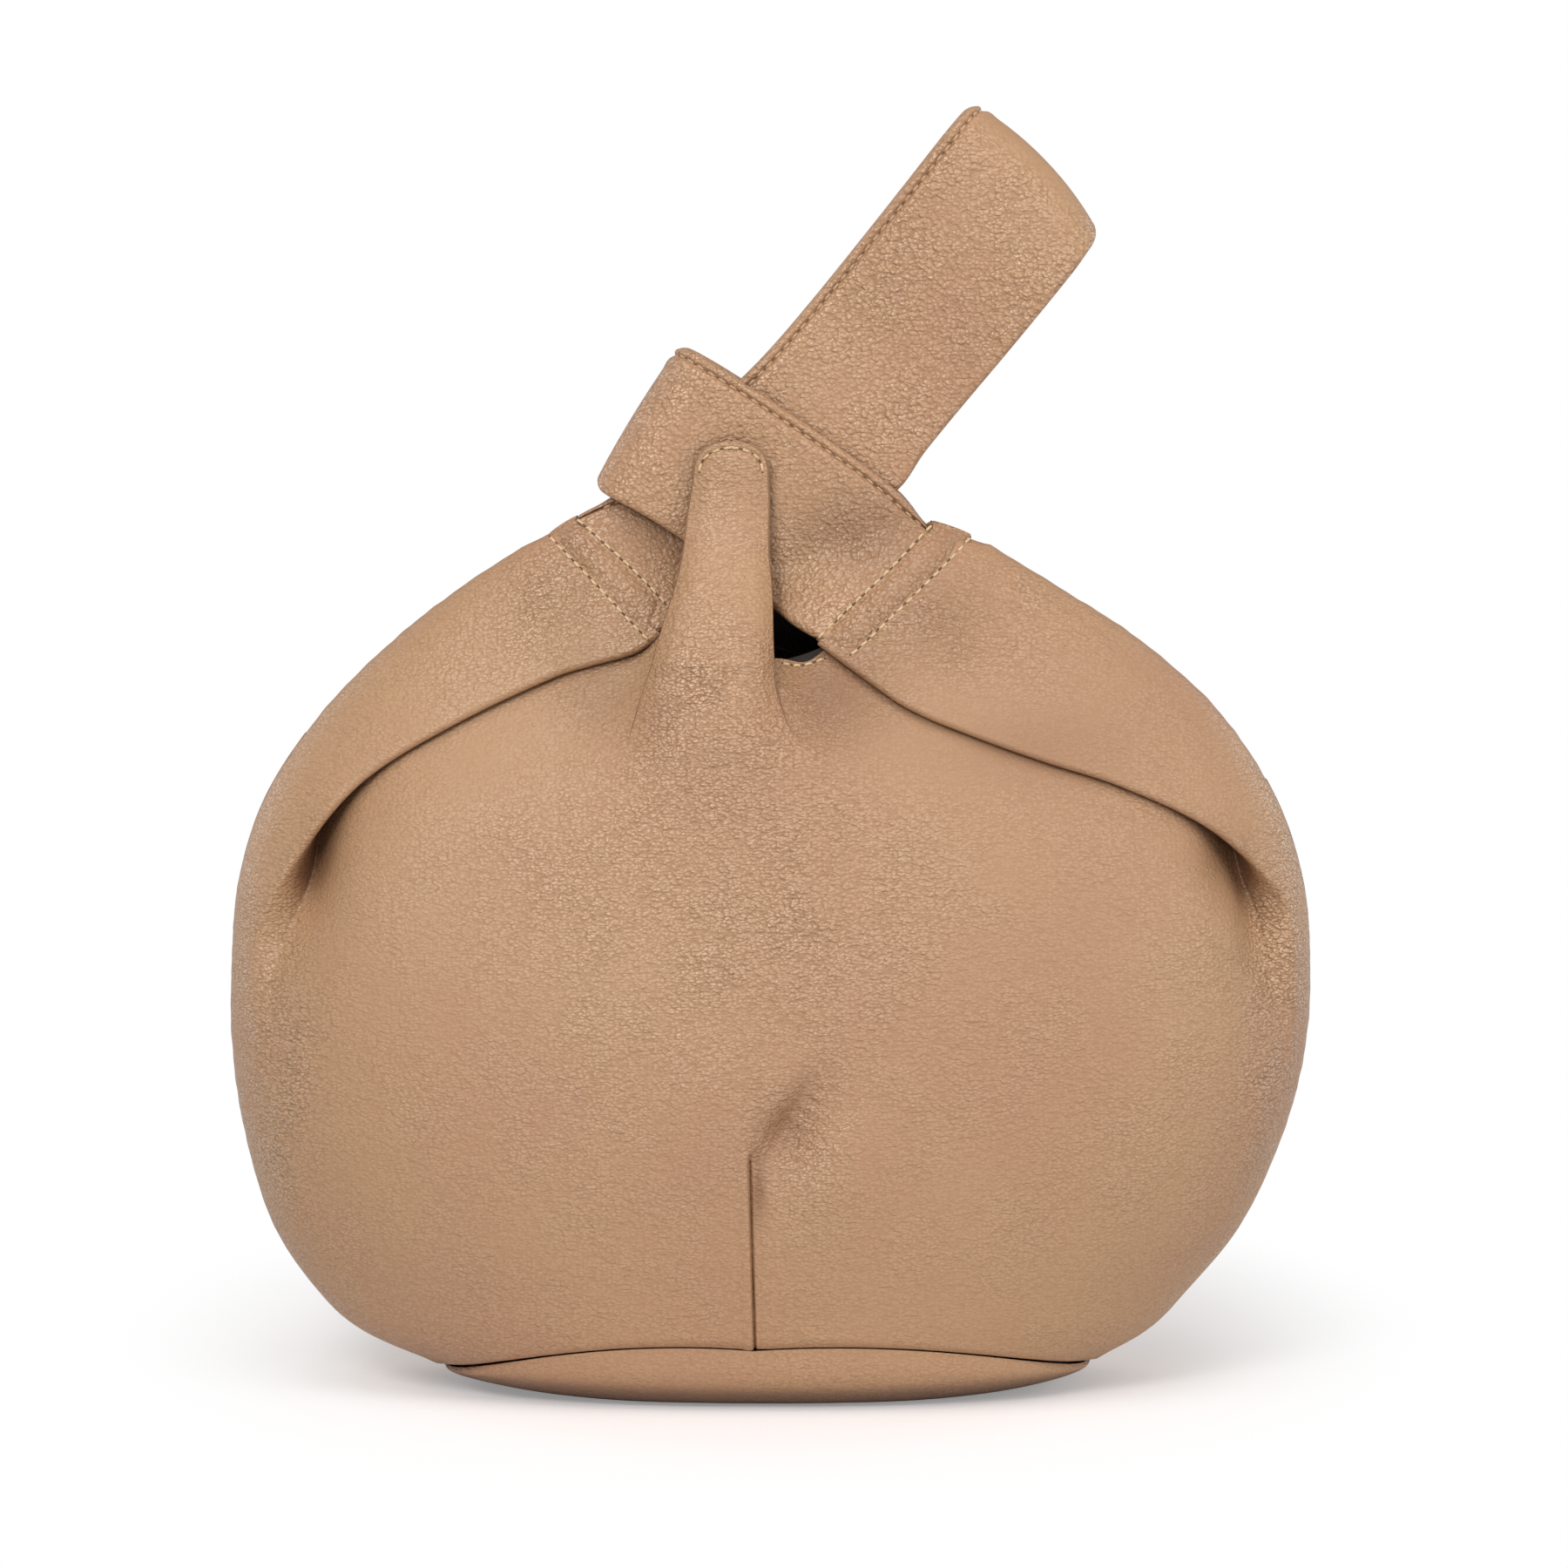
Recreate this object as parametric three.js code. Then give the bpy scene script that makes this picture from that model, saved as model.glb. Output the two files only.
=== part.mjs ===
// Knot bag of soft pebbled leather, in millimetres, +Z up and the front towards -Y.
// The origin lies on the floor under the middle of the bag.
// A long handle loop comes from the left shoulder, passes through the short loop of the
// right shoulder and stands up as a wrist loop. A tongue cut in one with the front panel
// closes over the crossing with a press snap.

import * as THREE from 'three';

// Body
const bodyWidth = 290;
const bodyHeight = 229;
const bodyDepth = 114;
const sectionPower = 2.3;
const leather = 1.6;
const seamGap = 0.3;

// Pleat that tucks the front and back panels under each shoulder
const pleatEdgeRadius = 2;
const pleatInnerRadius = 0.9;
const pleatTuck = 9;

// Ridge of the front panel that runs up into the tongue
const ridgeHeight = 11;
const ridgeHalfWidth = 13;

// The back panel has no tongue, and its neckline stands this much higher in the middle
const backNeckRise = 13;

// Base
const baseFlatShare = 0.8;
const boardThickness = 2;
const boardEdge = 6;

// Lining, neck facing and slip pocket
const lining = 0.8;
const liningEase = 3;
const insetShare = 1.2;

// Handles: an outer ply and a lining ply
const ply = 1.4;
const plyGap = 0.4;
const longBore = 2.4;
const longEndRadius = 11;
const layerGap = 0.8;
const loopSwing = 70;

// Tongue and its press snap
const tongueHalfWidth = 16.6;
const tongueLength = 58;
const tongueSag = 10;
const tongueTipRound = 8;
const snapRadius = 6;
const snapDrop = 12;
const snapPlate = 1.5;

const halfWidth = bodyWidth / 2;
const halfDepth = bodyDepth / 2;
const strap = 2 * ply + plyGap;
const longFace = longBore / 2 + strap;
const shortFace = longFace + layerGap + strap;

// Half width on the left and on the right, and half depth, as shares against the height share
const widthShares = [
  [0.02, 0.59, 0.565], [0.065, 0.76, 0.7], [0.11, 0.842, 0.772], [0.19, 0.926, 0.874],
  [0.3, 0.978, 0.953], [0.4, 1, 0.992], [0.5, 1, 1], [0.6, 0.985, 0.985], [0.7, 0.932, 0.93],
  [0.8, 0.823, 0.822], [0.88, 0.696, 0.68], [0.94, 0.576, 0.535], [1, 0.433, 0.383], [1.06, 0.29, 0.235],
];
const depthShares = [
  [0.02, 0.72], [0.06, 0.82], [0.1, 0.895], [0.2, 0.975], [0.32, 1], [0.5, 0.935],
  [0.65, 0.79], [0.77, 0.62], [0.86, 0.45], [0.93, 0.31], [1, 0.2], [1.06, 0.14],
];

// Rows run from the base seam (0) to the handle seams and the neckline (1). A row gives the height
// of its side end, how far out that end lies, and the x and height of the pleat edge.
const leftRowShares = [
  [0, 0.025, 1, -0.476, 0.051], [0.07, 0.115, 1, -0.79, 0.12], [0.16, 0.27, 1, -0.92, 0.28],
  [0.3, 0.42, 1, -0.94, 0.414], [0.414, 0.55, 1, -0.945, 0.537], [0.508, 0.65, 1, -0.877, 0.626],
  [0.615, 0.75, 1, -0.764, 0.717], [0.72, 0.86, 1, -0.612, 0.781], [0.865, 0.957, 1, -0.389, 0.848],
  [0.93, 0.997, 0.995, -0.255, 0.872], [1, 1.023, 0.94, -0.2, 0.893],
];
const rightRowShares = [
  [0, 0.03, 1, 0.44, 0.055], [0.07, 0.12, 1, 0.76, 0.12], [0.16, 0.28, 1, 0.9, 0.28],
  [0.3, 0.43, 1, 0.958, 0.41], [0.438, 0.59, 1, 0.949, 0.569], [0.488, 0.645, 1, 0.9, 0.618],
  [0.565, 0.73, 1, 0.794, 0.675], [0.66, 0.82, 1, 0.638, 0.722], [0.74, 0.88, 1, 0.5, 0.751],
  [0.805, 0.92, 1, 0.389, 0.776], [0.885, 0.965, 1, 0.254, 0.811], [0.94, 0.995, 0.99, 0.164, 0.848],
  [1, 1.008, 0.81, 0.085, 0.884],
];
const middleShares = [
  [0, -0.03, 0.073], [0.07, -0.03, 0.135], [0.16, -0.035, 0.23], [0.3, -0.05, 0.36],
  [0.42, -0.06, 0.46], [0.54, -0.07, 0.555], [0.66, -0.08, 0.65], [0.78, -0.09, 0.735],
  [0.89, -0.1, 0.81], [1, -0.1, 0.866],
];

// Pleat along the rows: share of a half turn, share of the tuck, and reach of the hollow beside it
const leftPleatShares = [
  [0, 0, 0.3, 0.16], [0.22, 0, 0.4, 0.14], [0.3, 0.04, 0.5, 0.12], [0.37, 0.12, 0.6, 0.1],
  [0.414, 0.22, 0.75, 0.1], [0.465, 0.38, 0.9, 0.1], [0.508, 0.55, 1, 0.1], [0.56, 0.75, 1, 0.12],
  [0.615, 0.92, 1, 0.15], [0.68, 1, 1, 0.2], [0.86, 1, 1, 0.24], [1, 1, 0.6, 0.2],
];
const rightPleatShares = [
  [0, 0, 0.3, 0.16], [0.22, 0, 0.4, 0.14], [0.31, 0.05, 0.5, 0.12], [0.38, 0.16, 0.7, 0.1],
  [0.43, 0.34, 0.85, 0.1], [0.47, 0.52, 1, 0.1], [0.52, 0.74, 1, 0.12], [0.57, 0.92, 1, 0.15],
  [0.63, 1, 1, 0.2], [0.86, 1, 1, 0.24], [1, 1, 0.6, 0.2],
];

// Ridge against the height share: middle x, height, half width and steepness
const ridgeShares = [
  [0.55, -0.1, 0, 4, 2], [0.62, -0.1, 0.1, 3.4, 2.2], [0.69, -0.1, 0.3, 2.7, 2.5],
  [0.74, -0.1, 0.52, 2, 3], [0.78, -0.098, 0.72, 1.55, 4], [0.82, -0.093, 0.88, 1.22, 5.5],
  [0.855, -0.082, 0.97, 1.05, 7], [0.87, -0.076, 1, 1, 8], [0.95, -0.076, 1, 1, 8],
];

// Edges of the handles from their roots (0) to the loop ends (1), as shares of half width and height
const longOuterShares = [
  [0.06, -0.281, 1.052], [0.22, -0.178, 1.118], [0.4, -0.056, 1.183], [0.52, 0.029, 1.24],
  [0.745, 0.187, 1.362], [1, 0.366, 1.505],
];
const longInnerShares = [
  [0.2, -0.015, 0.97], [0.345, 0.152, 1.026], [0.435, 0.234, 1.055], [0.52, 0.285, 1.1],
  [0.76, 0.444, 1.223], [1, 0.605, 1.35],
];
const shortOuterShares = [
  [0.17, 0.23, 1.055], [0.42, 0.115, 1.11], [0.8, -0.056, 1.183], [1, -0.165, 1.225],
];
const shortInnerShares = [
  [0.12, 0.026, 0.912], [0.66, -0.174, 1.002], [0.84, -0.241, 1.029], [1, -0.328, 1.058],
];

// Share of a handle along which it flattens from its root, at the outer and inner edge
const longFlattenShares = [0.08, 0.14];
const shortFlattenShares = [0.15, 0.3];
const shortEndShare = 1.15;
const bendShare = 0.52;
const longOpenShare = 0.56;
const shortOpenShare = 0.84;

// Tongue against its own length: middle x, half width, depth of its crest from the tip's depth (0) to
// the root's depth (1), and sag of its edges
const tongueShares = [
  [0, -0.1, 1, 1, 1], [0.11, -0.096, 0.955, 0.81, 0.86], [0.32, -0.086, 0.846, 0.446, 0.6],
  [0.48, -0.082, 0.756, 0.204, 0.42], [0.62, -0.079, 0.725, 0.057, 0.28], [0.72, -0.076, 0.7, 0.005, 0.2],
  [0.85, -0.073, 0.66, 0, 0.16], [1, -0.072, 0.65, 0, 0.14],
];
const neckShare = 0.866;

// Slip pocket on the back lining, in shares of the half row and of the rows
const pocketSpanShares = [0.38, 0.25, 0.62];
const liningSpanShares = [0.03, 0.93];
const facingSpanShares = [0.934, 0.985];

// Where the grids of the pieces have their rows and columns
const panelRowShares = [
  0, 0.03, 0.07, 0.12, 0.18, 0.25, 0.31, 0.37, 0.42, 0.47, 0.52, 0.57, 0.62, 0.69, 0.77, 0.85, 0.93, 1,
];
const baseRowShares = [-1, -0.97, -0.9, -0.75, -0.5, 0, 0.5, 0.75, 0.9, 0.97, 1];
const handleColumnShares = [0, 0.15, 0.5, 0.85, 1];
const tongueColumnShares = [-1, -0.92, -0.75, -0.4, 0, 0.4, 0.75, 0.92, 1];
const tongueRowShares = [0, 0.12, 0.24, 0.36, 0.48, 0.6, 0.72, 0.84, 0.9, 0.95, 0.98, 1];
const longTwistShare = 0.18;
const shortTwistShare = 0.36;
const backRiseShare = 0.8;
const shoulderSpacing = 1.5;
const frontSpacing = 1.35;
const middleBlendShare = 0.6;
const edgeSteepness = 4;

function material(color, roughness, metalness) {
  return new THREE.MeshStandardMaterial({ color, roughness, metalness });
}
const tan = material(0xbf9676, 0.55, 0);
const tanInside = material(0xb08a6c, 0.7, 0);
const black = material(0x25211f, 0.9, 0);
const grey = material(0x8a8378, 0.9, 0);
const antiqueBrass = material(0xa08450, 0.35, 1);

// Smooth curve through the rows of a table; each row starts with its own place along it
function read(table, place) {
  const last = table.length - 1;
  let i = 0;
  while (i < last - 1 && place > table[i + 1][0]) i += 1;
  const before = table[Math.max(i - 1, 0)];
  const a = table[i];
  const b = table[i + 1];
  const after = table[Math.min(i + 2, last)];
  const span = b[0] - a[0];
  const q = THREE.MathUtils.clamp((place - a[0]) / span, 0, 1);
  const q2 = q * q;
  const q3 = q2 * q;
  return a.slice(1).map((value, k) => {
    const next = b[k + 1];
    const slopeA = ((next - before[k + 1]) / (b[0] - before[0])) * span;
    const slopeB = ((after[k + 1] - value) / (after[0] - a[0])) * span;
    return (2 * q3 - 3 * q2 + 1) * value + (q3 - 2 * q2 + q) * slopeA
      + (3 * q2 - 2 * q3) * next + (q3 - q2) * slopeB;
  });
}

function ease(share) {
  return THREE.MathUtils.smoothstep(share, 0, 1);
}

function mix(a, b, share) {
  return a + (b - a) * share;
}

function halfWidthAt(z, side) {
  return read(widthShares, z / bodyHeight)[side < 0 ? 0 : 1] * halfWidth;
}

function halfDepthAt(z) {
  return read(depthShares, z / bodyHeight)[0] * halfDepth;
}

// Point of the smooth body for a place in the front view; face is -1 at the front, 1 at the back
function bodyPoint(x, z, side, face) {
  const across = Math.min(Math.abs(x) / halfWidthAt(z, side), 1);
  const y = halfDepthAt(z) * (1 - across ** sectionPower) ** (1 / sectionPower);
  return new THREE.Vector3(x, face * y, z);
}

function bodyLevel(p, side) {
  return (Math.abs(p.x) / halfWidthAt(p.z, side)) ** sectionPower
    + (Math.abs(p.y) / halfDepthAt(p.z)) ** sectionPower;
}

function bodyNormal(p, side) {
  const step = leather / 100;
  const slope = (axis) => {
    const high = p.clone();
    const low = p.clone();
    high[axis] += step;
    low[axis] -= step;
    return bodyLevel(high, side) - bodyLevel(low, side);
  };
  return new THREE.Vector3(slope('x'), slope('y'), slope('z')).normalize();
}

// One row of a panel from the side seam to the middle, with its length along the smooth body
const rowSteps = 48;
function makeRow(v, side, face) {
  const [sideZ, reachOut, foldX, foldZ] = read(side < 0 ? leftRowShares : rightRowShares, v);
  const [middleX, middleZ] = read(middleShares, v);
  const rise = face < 0 ? 0 : backNeckRise * ease((v - backRiseShare) / (1 - backRiseShare));
  const endZ = sideZ * bodyHeight;
  const end = [side * Math.min(reachOut, 1) * halfWidthAt(endZ, side), endZ];
  const fold = [foldX * halfWidth, foldZ * bodyHeight];
  const middle = [middleX * halfWidth, middleZ * bodyHeight];
  const first = Math.hypot(fold[0] - end[0], fold[1] - end[1]);
  const second = Math.hypot(middle[0] - fold[0], middle[1] - fold[1]);
  const tau = first / (first + second);
  const place = (t, k) => ((t - tau) * (t - 1) * end[k]) / tau
    + (t * (t - 1) * fold[k]) / (tau * (tau - 1))
    + (t * (t - tau) * middle[k]) / (1 - tau);
  const points = [];
  const lengths = [0];
  for (let i = 0; i <= rowSteps; i += 1) {
    const t = (i / rowSteps) ** 2;
    const risen = rise * Math.sin((Math.PI / 2) * Math.max((t - tau) / (1 - tau), 0));
    points.push(bodyPoint(place(t, 0), place(t, 1) + risen, side, face));
    if (i > 0) lengths.push(lengths[i - 1] + points[i].distanceTo(points[i - 1]));
  }
  const foldStep = Math.floor(Math.sqrt(tau) * rowSteps);
  const pastStep = (tau * rowSteps ** 2 - foldStep ** 2) / (2 * foldStep + 1);
  const foldLength = mix(lengths[foldStep], lengths[foldStep + 1], pastStep);
  const [turn, tuck, reach] = read(side < 0 ? leftPleatShares : rightPleatShares, v);
  const angle = Math.PI * THREE.MathUtils.clamp(turn, 0, 1);
  const flat = tuck * pleatTuck;
  const radii = pleatEdgeRadius + pleatInnerRadius;
  const start = foldLength - pleatEdgeRadius * Math.sin(Math.min(angle, Math.PI / 2));
  const from = start + radii * Math.sin(angle) + flat * Math.cos(angle);
  const total = lengths[rowSteps];
  const drop = radii * (1 - Math.cos(angle)) + flat * Math.sin(angle);
  const hollow = Math.min(reach * halfWidth, (total - from) / 2);
  return { side, points, lengths, angle, flat, start, from, total, drop, hollow };
}

const rowStore = new Map();
function rowFor(v, side, face) {
  const key = `${v.toFixed(6)} ${side} ${face}`;
  if (!rowStore.has(key)) rowStore.set(key, makeRow(v, side, face));
  return rowStore.get(key);
}

// Point at a length along a row, moved out from the smooth body
function rowPoint(row, length, out) {
  let i = 1;
  while (i < rowSteps && row.lengths[i] < length) i += 1;
  const share = (length - row.lengths[i - 1]) / (row.lengths[i] - row.lengths[i - 1]);
  const p = row.points[i - 1].clone().lerp(row.points[i], share);
  return p.addScaledVector(bodyNormal(p, row.side), out);
}

function ridgeAt(p) {
  const [middle, height, width, power] = read(ridgeShares, p.z / bodyHeight);
  const off = Math.abs(p.x - middle * halfWidth) / (width * ridgeHalfWidth);
  return (ridgeHeight * Math.max(height, 0)) / (1 + off ** power);
}

// Zones across a row: shoulder (0 to 1), pleat (1 to 2) and front (2 to 3)
function panelPoint(row, zone, face) {
  if (zone <= 1) return rowPoint(row, Math.max(zone, 0) ** shoulderSpacing * row.start, 0);
  if (zone < 2) {
    const edge = pleatEdgeRadius * row.angle;
    const inner = pleatInnerRadius * row.angle;
    const run = (zone - 1) * (edge + row.flat + inner);
    const turned = Math.min(run, edge) / pleatEdgeRadius;
    const straight = THREE.MathUtils.clamp(run - edge, 0, row.flat);
    const back = row.angle - Math.max(run - edge - row.flat, 0) / pleatInnerRadius;
    const along = pleatEdgeRadius * Math.sin(turned) + straight * Math.cos(row.angle)
      + pleatInnerRadius * (Math.sin(row.angle) - Math.sin(back));
    const down = pleatEdgeRadius * (1 - Math.cos(turned)) + straight * Math.sin(row.angle)
      + pleatInnerRadius * (Math.cos(back) - Math.cos(row.angle));
    return rowPoint(row, row.start + along, -down);
  }
  const beyond = (1 - (3 - zone) ** frontSpacing) * (row.total - row.from);
  const p = rowPoint(row, row.from + beyond, -row.drop * Math.exp(-((beyond / row.hollow) ** 2)));
  if (face < 0) p.y -= ridgeAt(p);
  return p;
}

// Joins two grids of the same size, one inside the other, into one closed body
function closeGrids(outer, inner, columns, rows) {
  const count = columns * rows;
  const points = [...outer, ...inner];
  const faces = [];
  const quad = (a, b, c, d) => {
    const short = points[a].distanceTo(points[c]) <= points[b].distanceTo(points[d]);
    if (short) faces.push(a, b, c, a, c, d);
    else faces.push(a, b, d, b, c, d);
  };
  for (let j = 0; j < rows - 1; j += 1) {
    for (let i = 0; i < columns - 1; i += 1) {
      const a = j * columns + i;
      quad(a, a + 1, a + columns + 1, a + columns);
      quad(count + a + columns, count + a + columns + 1, count + a + 1, count + a);
    }
  }
  for (let i = 0; i < columns - 1; i += 1) {
    const top = (rows - 1) * columns + i;
    quad(i, count + i, count + i + 1, i + 1);
    quad(top + 1, count + top + 1, count + top, top);
  }
  for (let j = 0; j < rows - 1; j += 1) {
    const left = j * columns;
    const right = left + columns - 1;
    quad(left + columns, count + left + columns, count + left, left);
    quad(right, count + right, count + right + columns, right + columns);
  }
  const geometry = new THREE.BufferGeometry();
  const places = points.flatMap((p) => p.toArray());
  geometry.setAttribute('position', new THREE.Float32BufferAttribute(places, 3));
  geometry.setIndex(faces);
  geometry.computeVertexNormals();
  return geometry;
}

// Closed sheet on a surface, from a depth below it down by a thickness; keep moves points into bounds
function sheet(surface, us, vs, depth, thickness, keep = (p) => p) {
  const step = 1e-3;
  const outer = [];
  const inner = [];
  for (const v of vs) {
    for (const u of us) {
      const p = surface(u, v);
      const du = surface(u + step, v).sub(surface(u - step, v));
      const dv = surface(u, v + step).sub(surface(u, v - step));
      const n = du.cross(dv).normalize();
      outer.push(keep(p.clone().addScaledVector(n, -depth)));
      inner.push(keep(p.clone().addScaledVector(n, -depth - thickness)));
    }
  }
  return closeGrids(outer, inner, us.length, vs.length);
}

function steps(from, to, count) {
  return Array.from({ length: count + 1 }, (_, i) => mix(from, to, i / count));
}

// Keeps the points of a front or back piece on its own side of the side seams
function keepSide(face) {
  return (p) => {
    p.y = face * Math.max(face * p.y, seamGap / 2);
    return p;
  };
}

// A whole panel runs from one side seam (-3) over the middle (0) to the other (3)
function panelSurface(face) {
  return (u, v) => {
    const side = u * face > 0 ? -1 : 1;
    const p = panelPoint(rowFor(v, side, face), 3 - Math.abs(u), face);
    return keepSide(face)(p);
  };
}

function panelColumns(shoulder, pleat, front) {
  const half = [...steps(0, 1, shoulder), ...steps(1, 2, pleat).slice(1), ...steps(2, 3, front).slice(1)];
  return [...half.map((zone) => zone - 3), ...half.slice(0, -1).reverse().map((zone) => 3 - zone)];
}

// Inside surface, clear of the pleats, from one side seam (-1) to the other (1)
function insideSurface(face) {
  return (u, v) => {
    const side = u * face > 0 ? -1 : 1;
    const leftPart = ease((middleBlendShare + u * face) / (2 * middleBlendShare));
    const drop = mix(rowFor(v, 1, face).drop, rowFor(v, -1, face).drop, leftPart);
    const inset = (leather + liningEase + drop) * insetShare;
    const row = rowFor(v, side, face);
    const p = rowPoint(row, (1 - Math.abs(u)) * row.total, 0);
    p.x *= 1 - inset / halfWidthAt(p.z, side);
    p.y *= 1 - inset / halfDepthAt(p.z);
    return keepSide(face)(p);
  };
}

// Dish that closes a rim: across runs front to back, the floor is flat within the flat share
function dishSurface(rim, end, floor, gap) {
  const widest = Math.abs(rim(-end, -1).x);
  return (u, w) => {
    const front = rim(u, -1);
    const side = front.x < 0 ? widest : Math.abs(rim(end, -1).x);
    const p = new THREE.Vector3(front.x, -w * front.y, front.z);
    const endways = Math.min(Math.abs(p.x) / side, 1) ** sectionPower;
    const reach = (endways + (1 - endways) * Math.abs(w) ** sectionPower) ** (1 / sectionPower);
    const slope = THREE.MathUtils.clamp((reach - baseFlatShare) / (1 - baseFlatShare), 0, 1);
    p.z = mix(floor, Math.max(front.z - gap, floor), 1 - Math.sqrt(1 - slope * slope));
    return p;
  };
}

// Handle band: across goes from the outer edge (0) to the inner edge (1); along goes over the front
// (0 to 1), round the loop end (1 to 2) and down the back (2 to 3)
function handleSurface(shape) {
  const rootAt = (across, face) => panelPoint(rowFor(1, shape.side, face), across, face);
  const edge = (shares, p) => [[0, p.x, p.z], ...shares.map(([t, x, z]) => [t, x * halfWidth, z * bodyHeight])];
  const outer = edge(shape.outerShares, rootAt(0, -1));
  const inner = edge(shape.innerShares, rootAt(1, -1));
  const [, startX, startZ] = outer[0];
  const [, endX, endZ] = outer.at(-1);
  const roundShare = shape.endRadius / Math.hypot(endX - startX, endZ - startZ);
  return (across, along) => {
    const face = along <= 1.5 ? -1 : 1;
    const turn = Math.PI * THREE.MathUtils.clamp(along - 1, 0, 1);
    const run = along <= 1 ? along : Math.min(3 - along, 1);
    const t = run * (1 - roundShare) + roundShare * Math.sin(turn);
    const a = read(outer, t);
    const b = read(inner, t);
    const root = rootAt(across, face);
    const rooted = 1 - ease(t / shape.flattenShares[0]);
    const x = mix(a[0], b[0], across) + (root.x - mix(outer[0][1], inner[0][1], across)) * rooted;
    const z = mix(a[1], b[1], across) + (root.z - mix(outer[0][2], inner[0][2], across)) * rooted;
    const opening = (t - shape.openShare) / (1 - roundShare - shape.openShare);
    const opened = mix(shape.face, shape.endRadius, ease(opening));
    const flattened = ease(t / mix(shape.flattenShares[0], shape.flattenShares[1], across));
    const depth = mix(Math.abs(root.y), opened, flattened);
    return new THREE.Vector3(x, -depth * Math.cos(turn), z);
  };
}

// Height of the neckline under the tongue, level beyond the middle of its root
function neckAt(x) {
  const points = [...rowFor(1, -1, -1).points, ...[...rowFor(1, 1, -1).points].reverse()];
  const inside = THREE.MathUtils.clamp(x, -tongueHalfWidth - ridgeHalfWidth / 2, ridgeHalfWidth / 2);
  const i = Math.max(points.findIndex((p) => p.x >= inside), 1);
  const share = (inside - points[i - 1].x) / Math.max(points[i].x - points[i - 1].x, seamGap / 100);
  return mix(points[i - 1].z, points[i].z, THREE.MathUtils.clamp(share, 0, 1));
}

// Tongue: across from its left edge (-1) to its right edge (1), up from its root (0) to its tip (1)
const tongueTop = neckShare * bodyHeight + tongueLength;
const tongueRootDepth = Math.abs(panelPoint(rowFor(1, -1, -1), 3, -1).y) + seamGap;
const tongueTipDepth = shortFace + 2 * snapPlate + 3 * seamGap + strap;
function tonguePoint(across, up) {
  const [middle, width, crest, sag] = read(tongueShares, up);
  const cornerRise = Math.max(up * tongueLength - (tongueLength - tongueTipRound), 0);
  const round = tongueTipRound - Math.sqrt(Math.max(tongueTipRound ** 2 - cornerRise ** 2, 0));
  const half = width * tongueHalfWidth - Math.min(round, tongueTipRound);
  const off = (across * half) / (width * tongueHalfWidth);
  const x = middle * halfWidth + across * half;
  const depth = mix(tongueTipDepth, tongueRootDepth, crest);
  const y = sag * tongueSag * Math.abs(off) ** edgeSteepness - depth;
  return new THREE.Vector3(x, y, mix(neckAt(x) + 2 * seamGap, tongueTop, up));
}

const part = new THREE.Group();

function add(name, geometry, look) {
  const mesh = new THREE.Mesh(geometry, look);
  mesh.name = name;
  part.add(mesh);
  return mesh;
}

// Panels, linings and neck facings
const panelUs = panelColumns(4, 6, 7);
const liningUs = steps(-1, 1, 16);
const liningRows = panelRowShares.filter((v) => v >= liningSpanShares[0] && v <= liningSpanShares[1]);
const facingRows = steps(facingSpanShares[0], facingSpanShares[1], 2);
for (const [name, face] of [['front', -1], ['back', 1]]) {
  const keep = keepSide(face);
  const inside = insideSurface(face);
  add(`${name}_panel`, sheet(panelSurface(face), panelUs, panelRowShares, 0, leather, keep), tan);
  add(`${name}_lining`, sheet(inside, liningUs, liningRows, 0, lining, keep), black);
  add(`${name}_neck_facing`, sheet(inside, liningUs, facingRows, 0, lining, keep), black);
}

// Slip pocket on the back lining
const [pocketHalf, pocketLow, pocketHigh] = pocketSpanShares;
const pocketColumns = liningUs.filter((u) => Math.abs(u) <= pocketHalf);
const pocketRows = panelRowShares.filter((v) => v >= pocketLow && v <= pocketHigh);
add('slip_pocket', sheet(insideSurface(1), pocketColumns, pocketRows, lining + seamGap, lining), black);

// Base with its stiffening board and lining
const panelRim = (u, face) => panelSurface(face)(u, 0);
const liningRim = (u, face) => insideSurface(face)(u, 0);
const boardLift = leather + seamGap;
const liningUnderside = boardLift + boardThickness + seamGap;
const baseSurface = dishSurface(panelRim, 3, 0, seamGap);
const baseLiningSurface = dishSurface(liningRim, 1, liningUnderside, seamGap);
const flipped = (surface) => (u, w) => surface(-u, w);
const rimPoints = panelUs.map((u) => panelRim(u, -1));
const underRim = (p) => {
  const i = THREE.MathUtils.clamp(rimPoints.findIndex((q) => q.x > p.x), 1, rimPoints.length - 1);
  const share = (p.x - rimPoints[i - 1].x) / (rimPoints[i].x - rimPoints[i - 1].x);
  const rim = mix(rimPoints[i - 1].z, rimPoints[i].z, THREE.MathUtils.clamp(share, 0, 1));
  p.z = Math.min(p.z, rim - seamGap);
  return p;
};
add('base_panel', sheet(flipped(baseSurface), panelUs, baseRowShares, 0, leather, underRim), tan);
add('base_lining', sheet(flipped(baseLiningSurface), liningUs, baseRowShares, 0, lining), black);

function boardGeometry() {
  const halfX = baseFlatShare * Math.abs(panelRim(-3, -1).x) - boardEdge;
  const halfY = baseFlatShare * Math.abs(panelRim(0, -1).y) - boardEdge;
  const outline = new THREE.Shape();
  outline.absellipse(0, 0, halfX, halfY, 0, 2 * Math.PI);
  return new THREE.ExtrudeGeometry(outline, { depth: boardThickness, bevelEnabled: false, curveSegments: 24 });
}
add('base_board', boardGeometry(), grey).position.z = boardLift;

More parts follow.
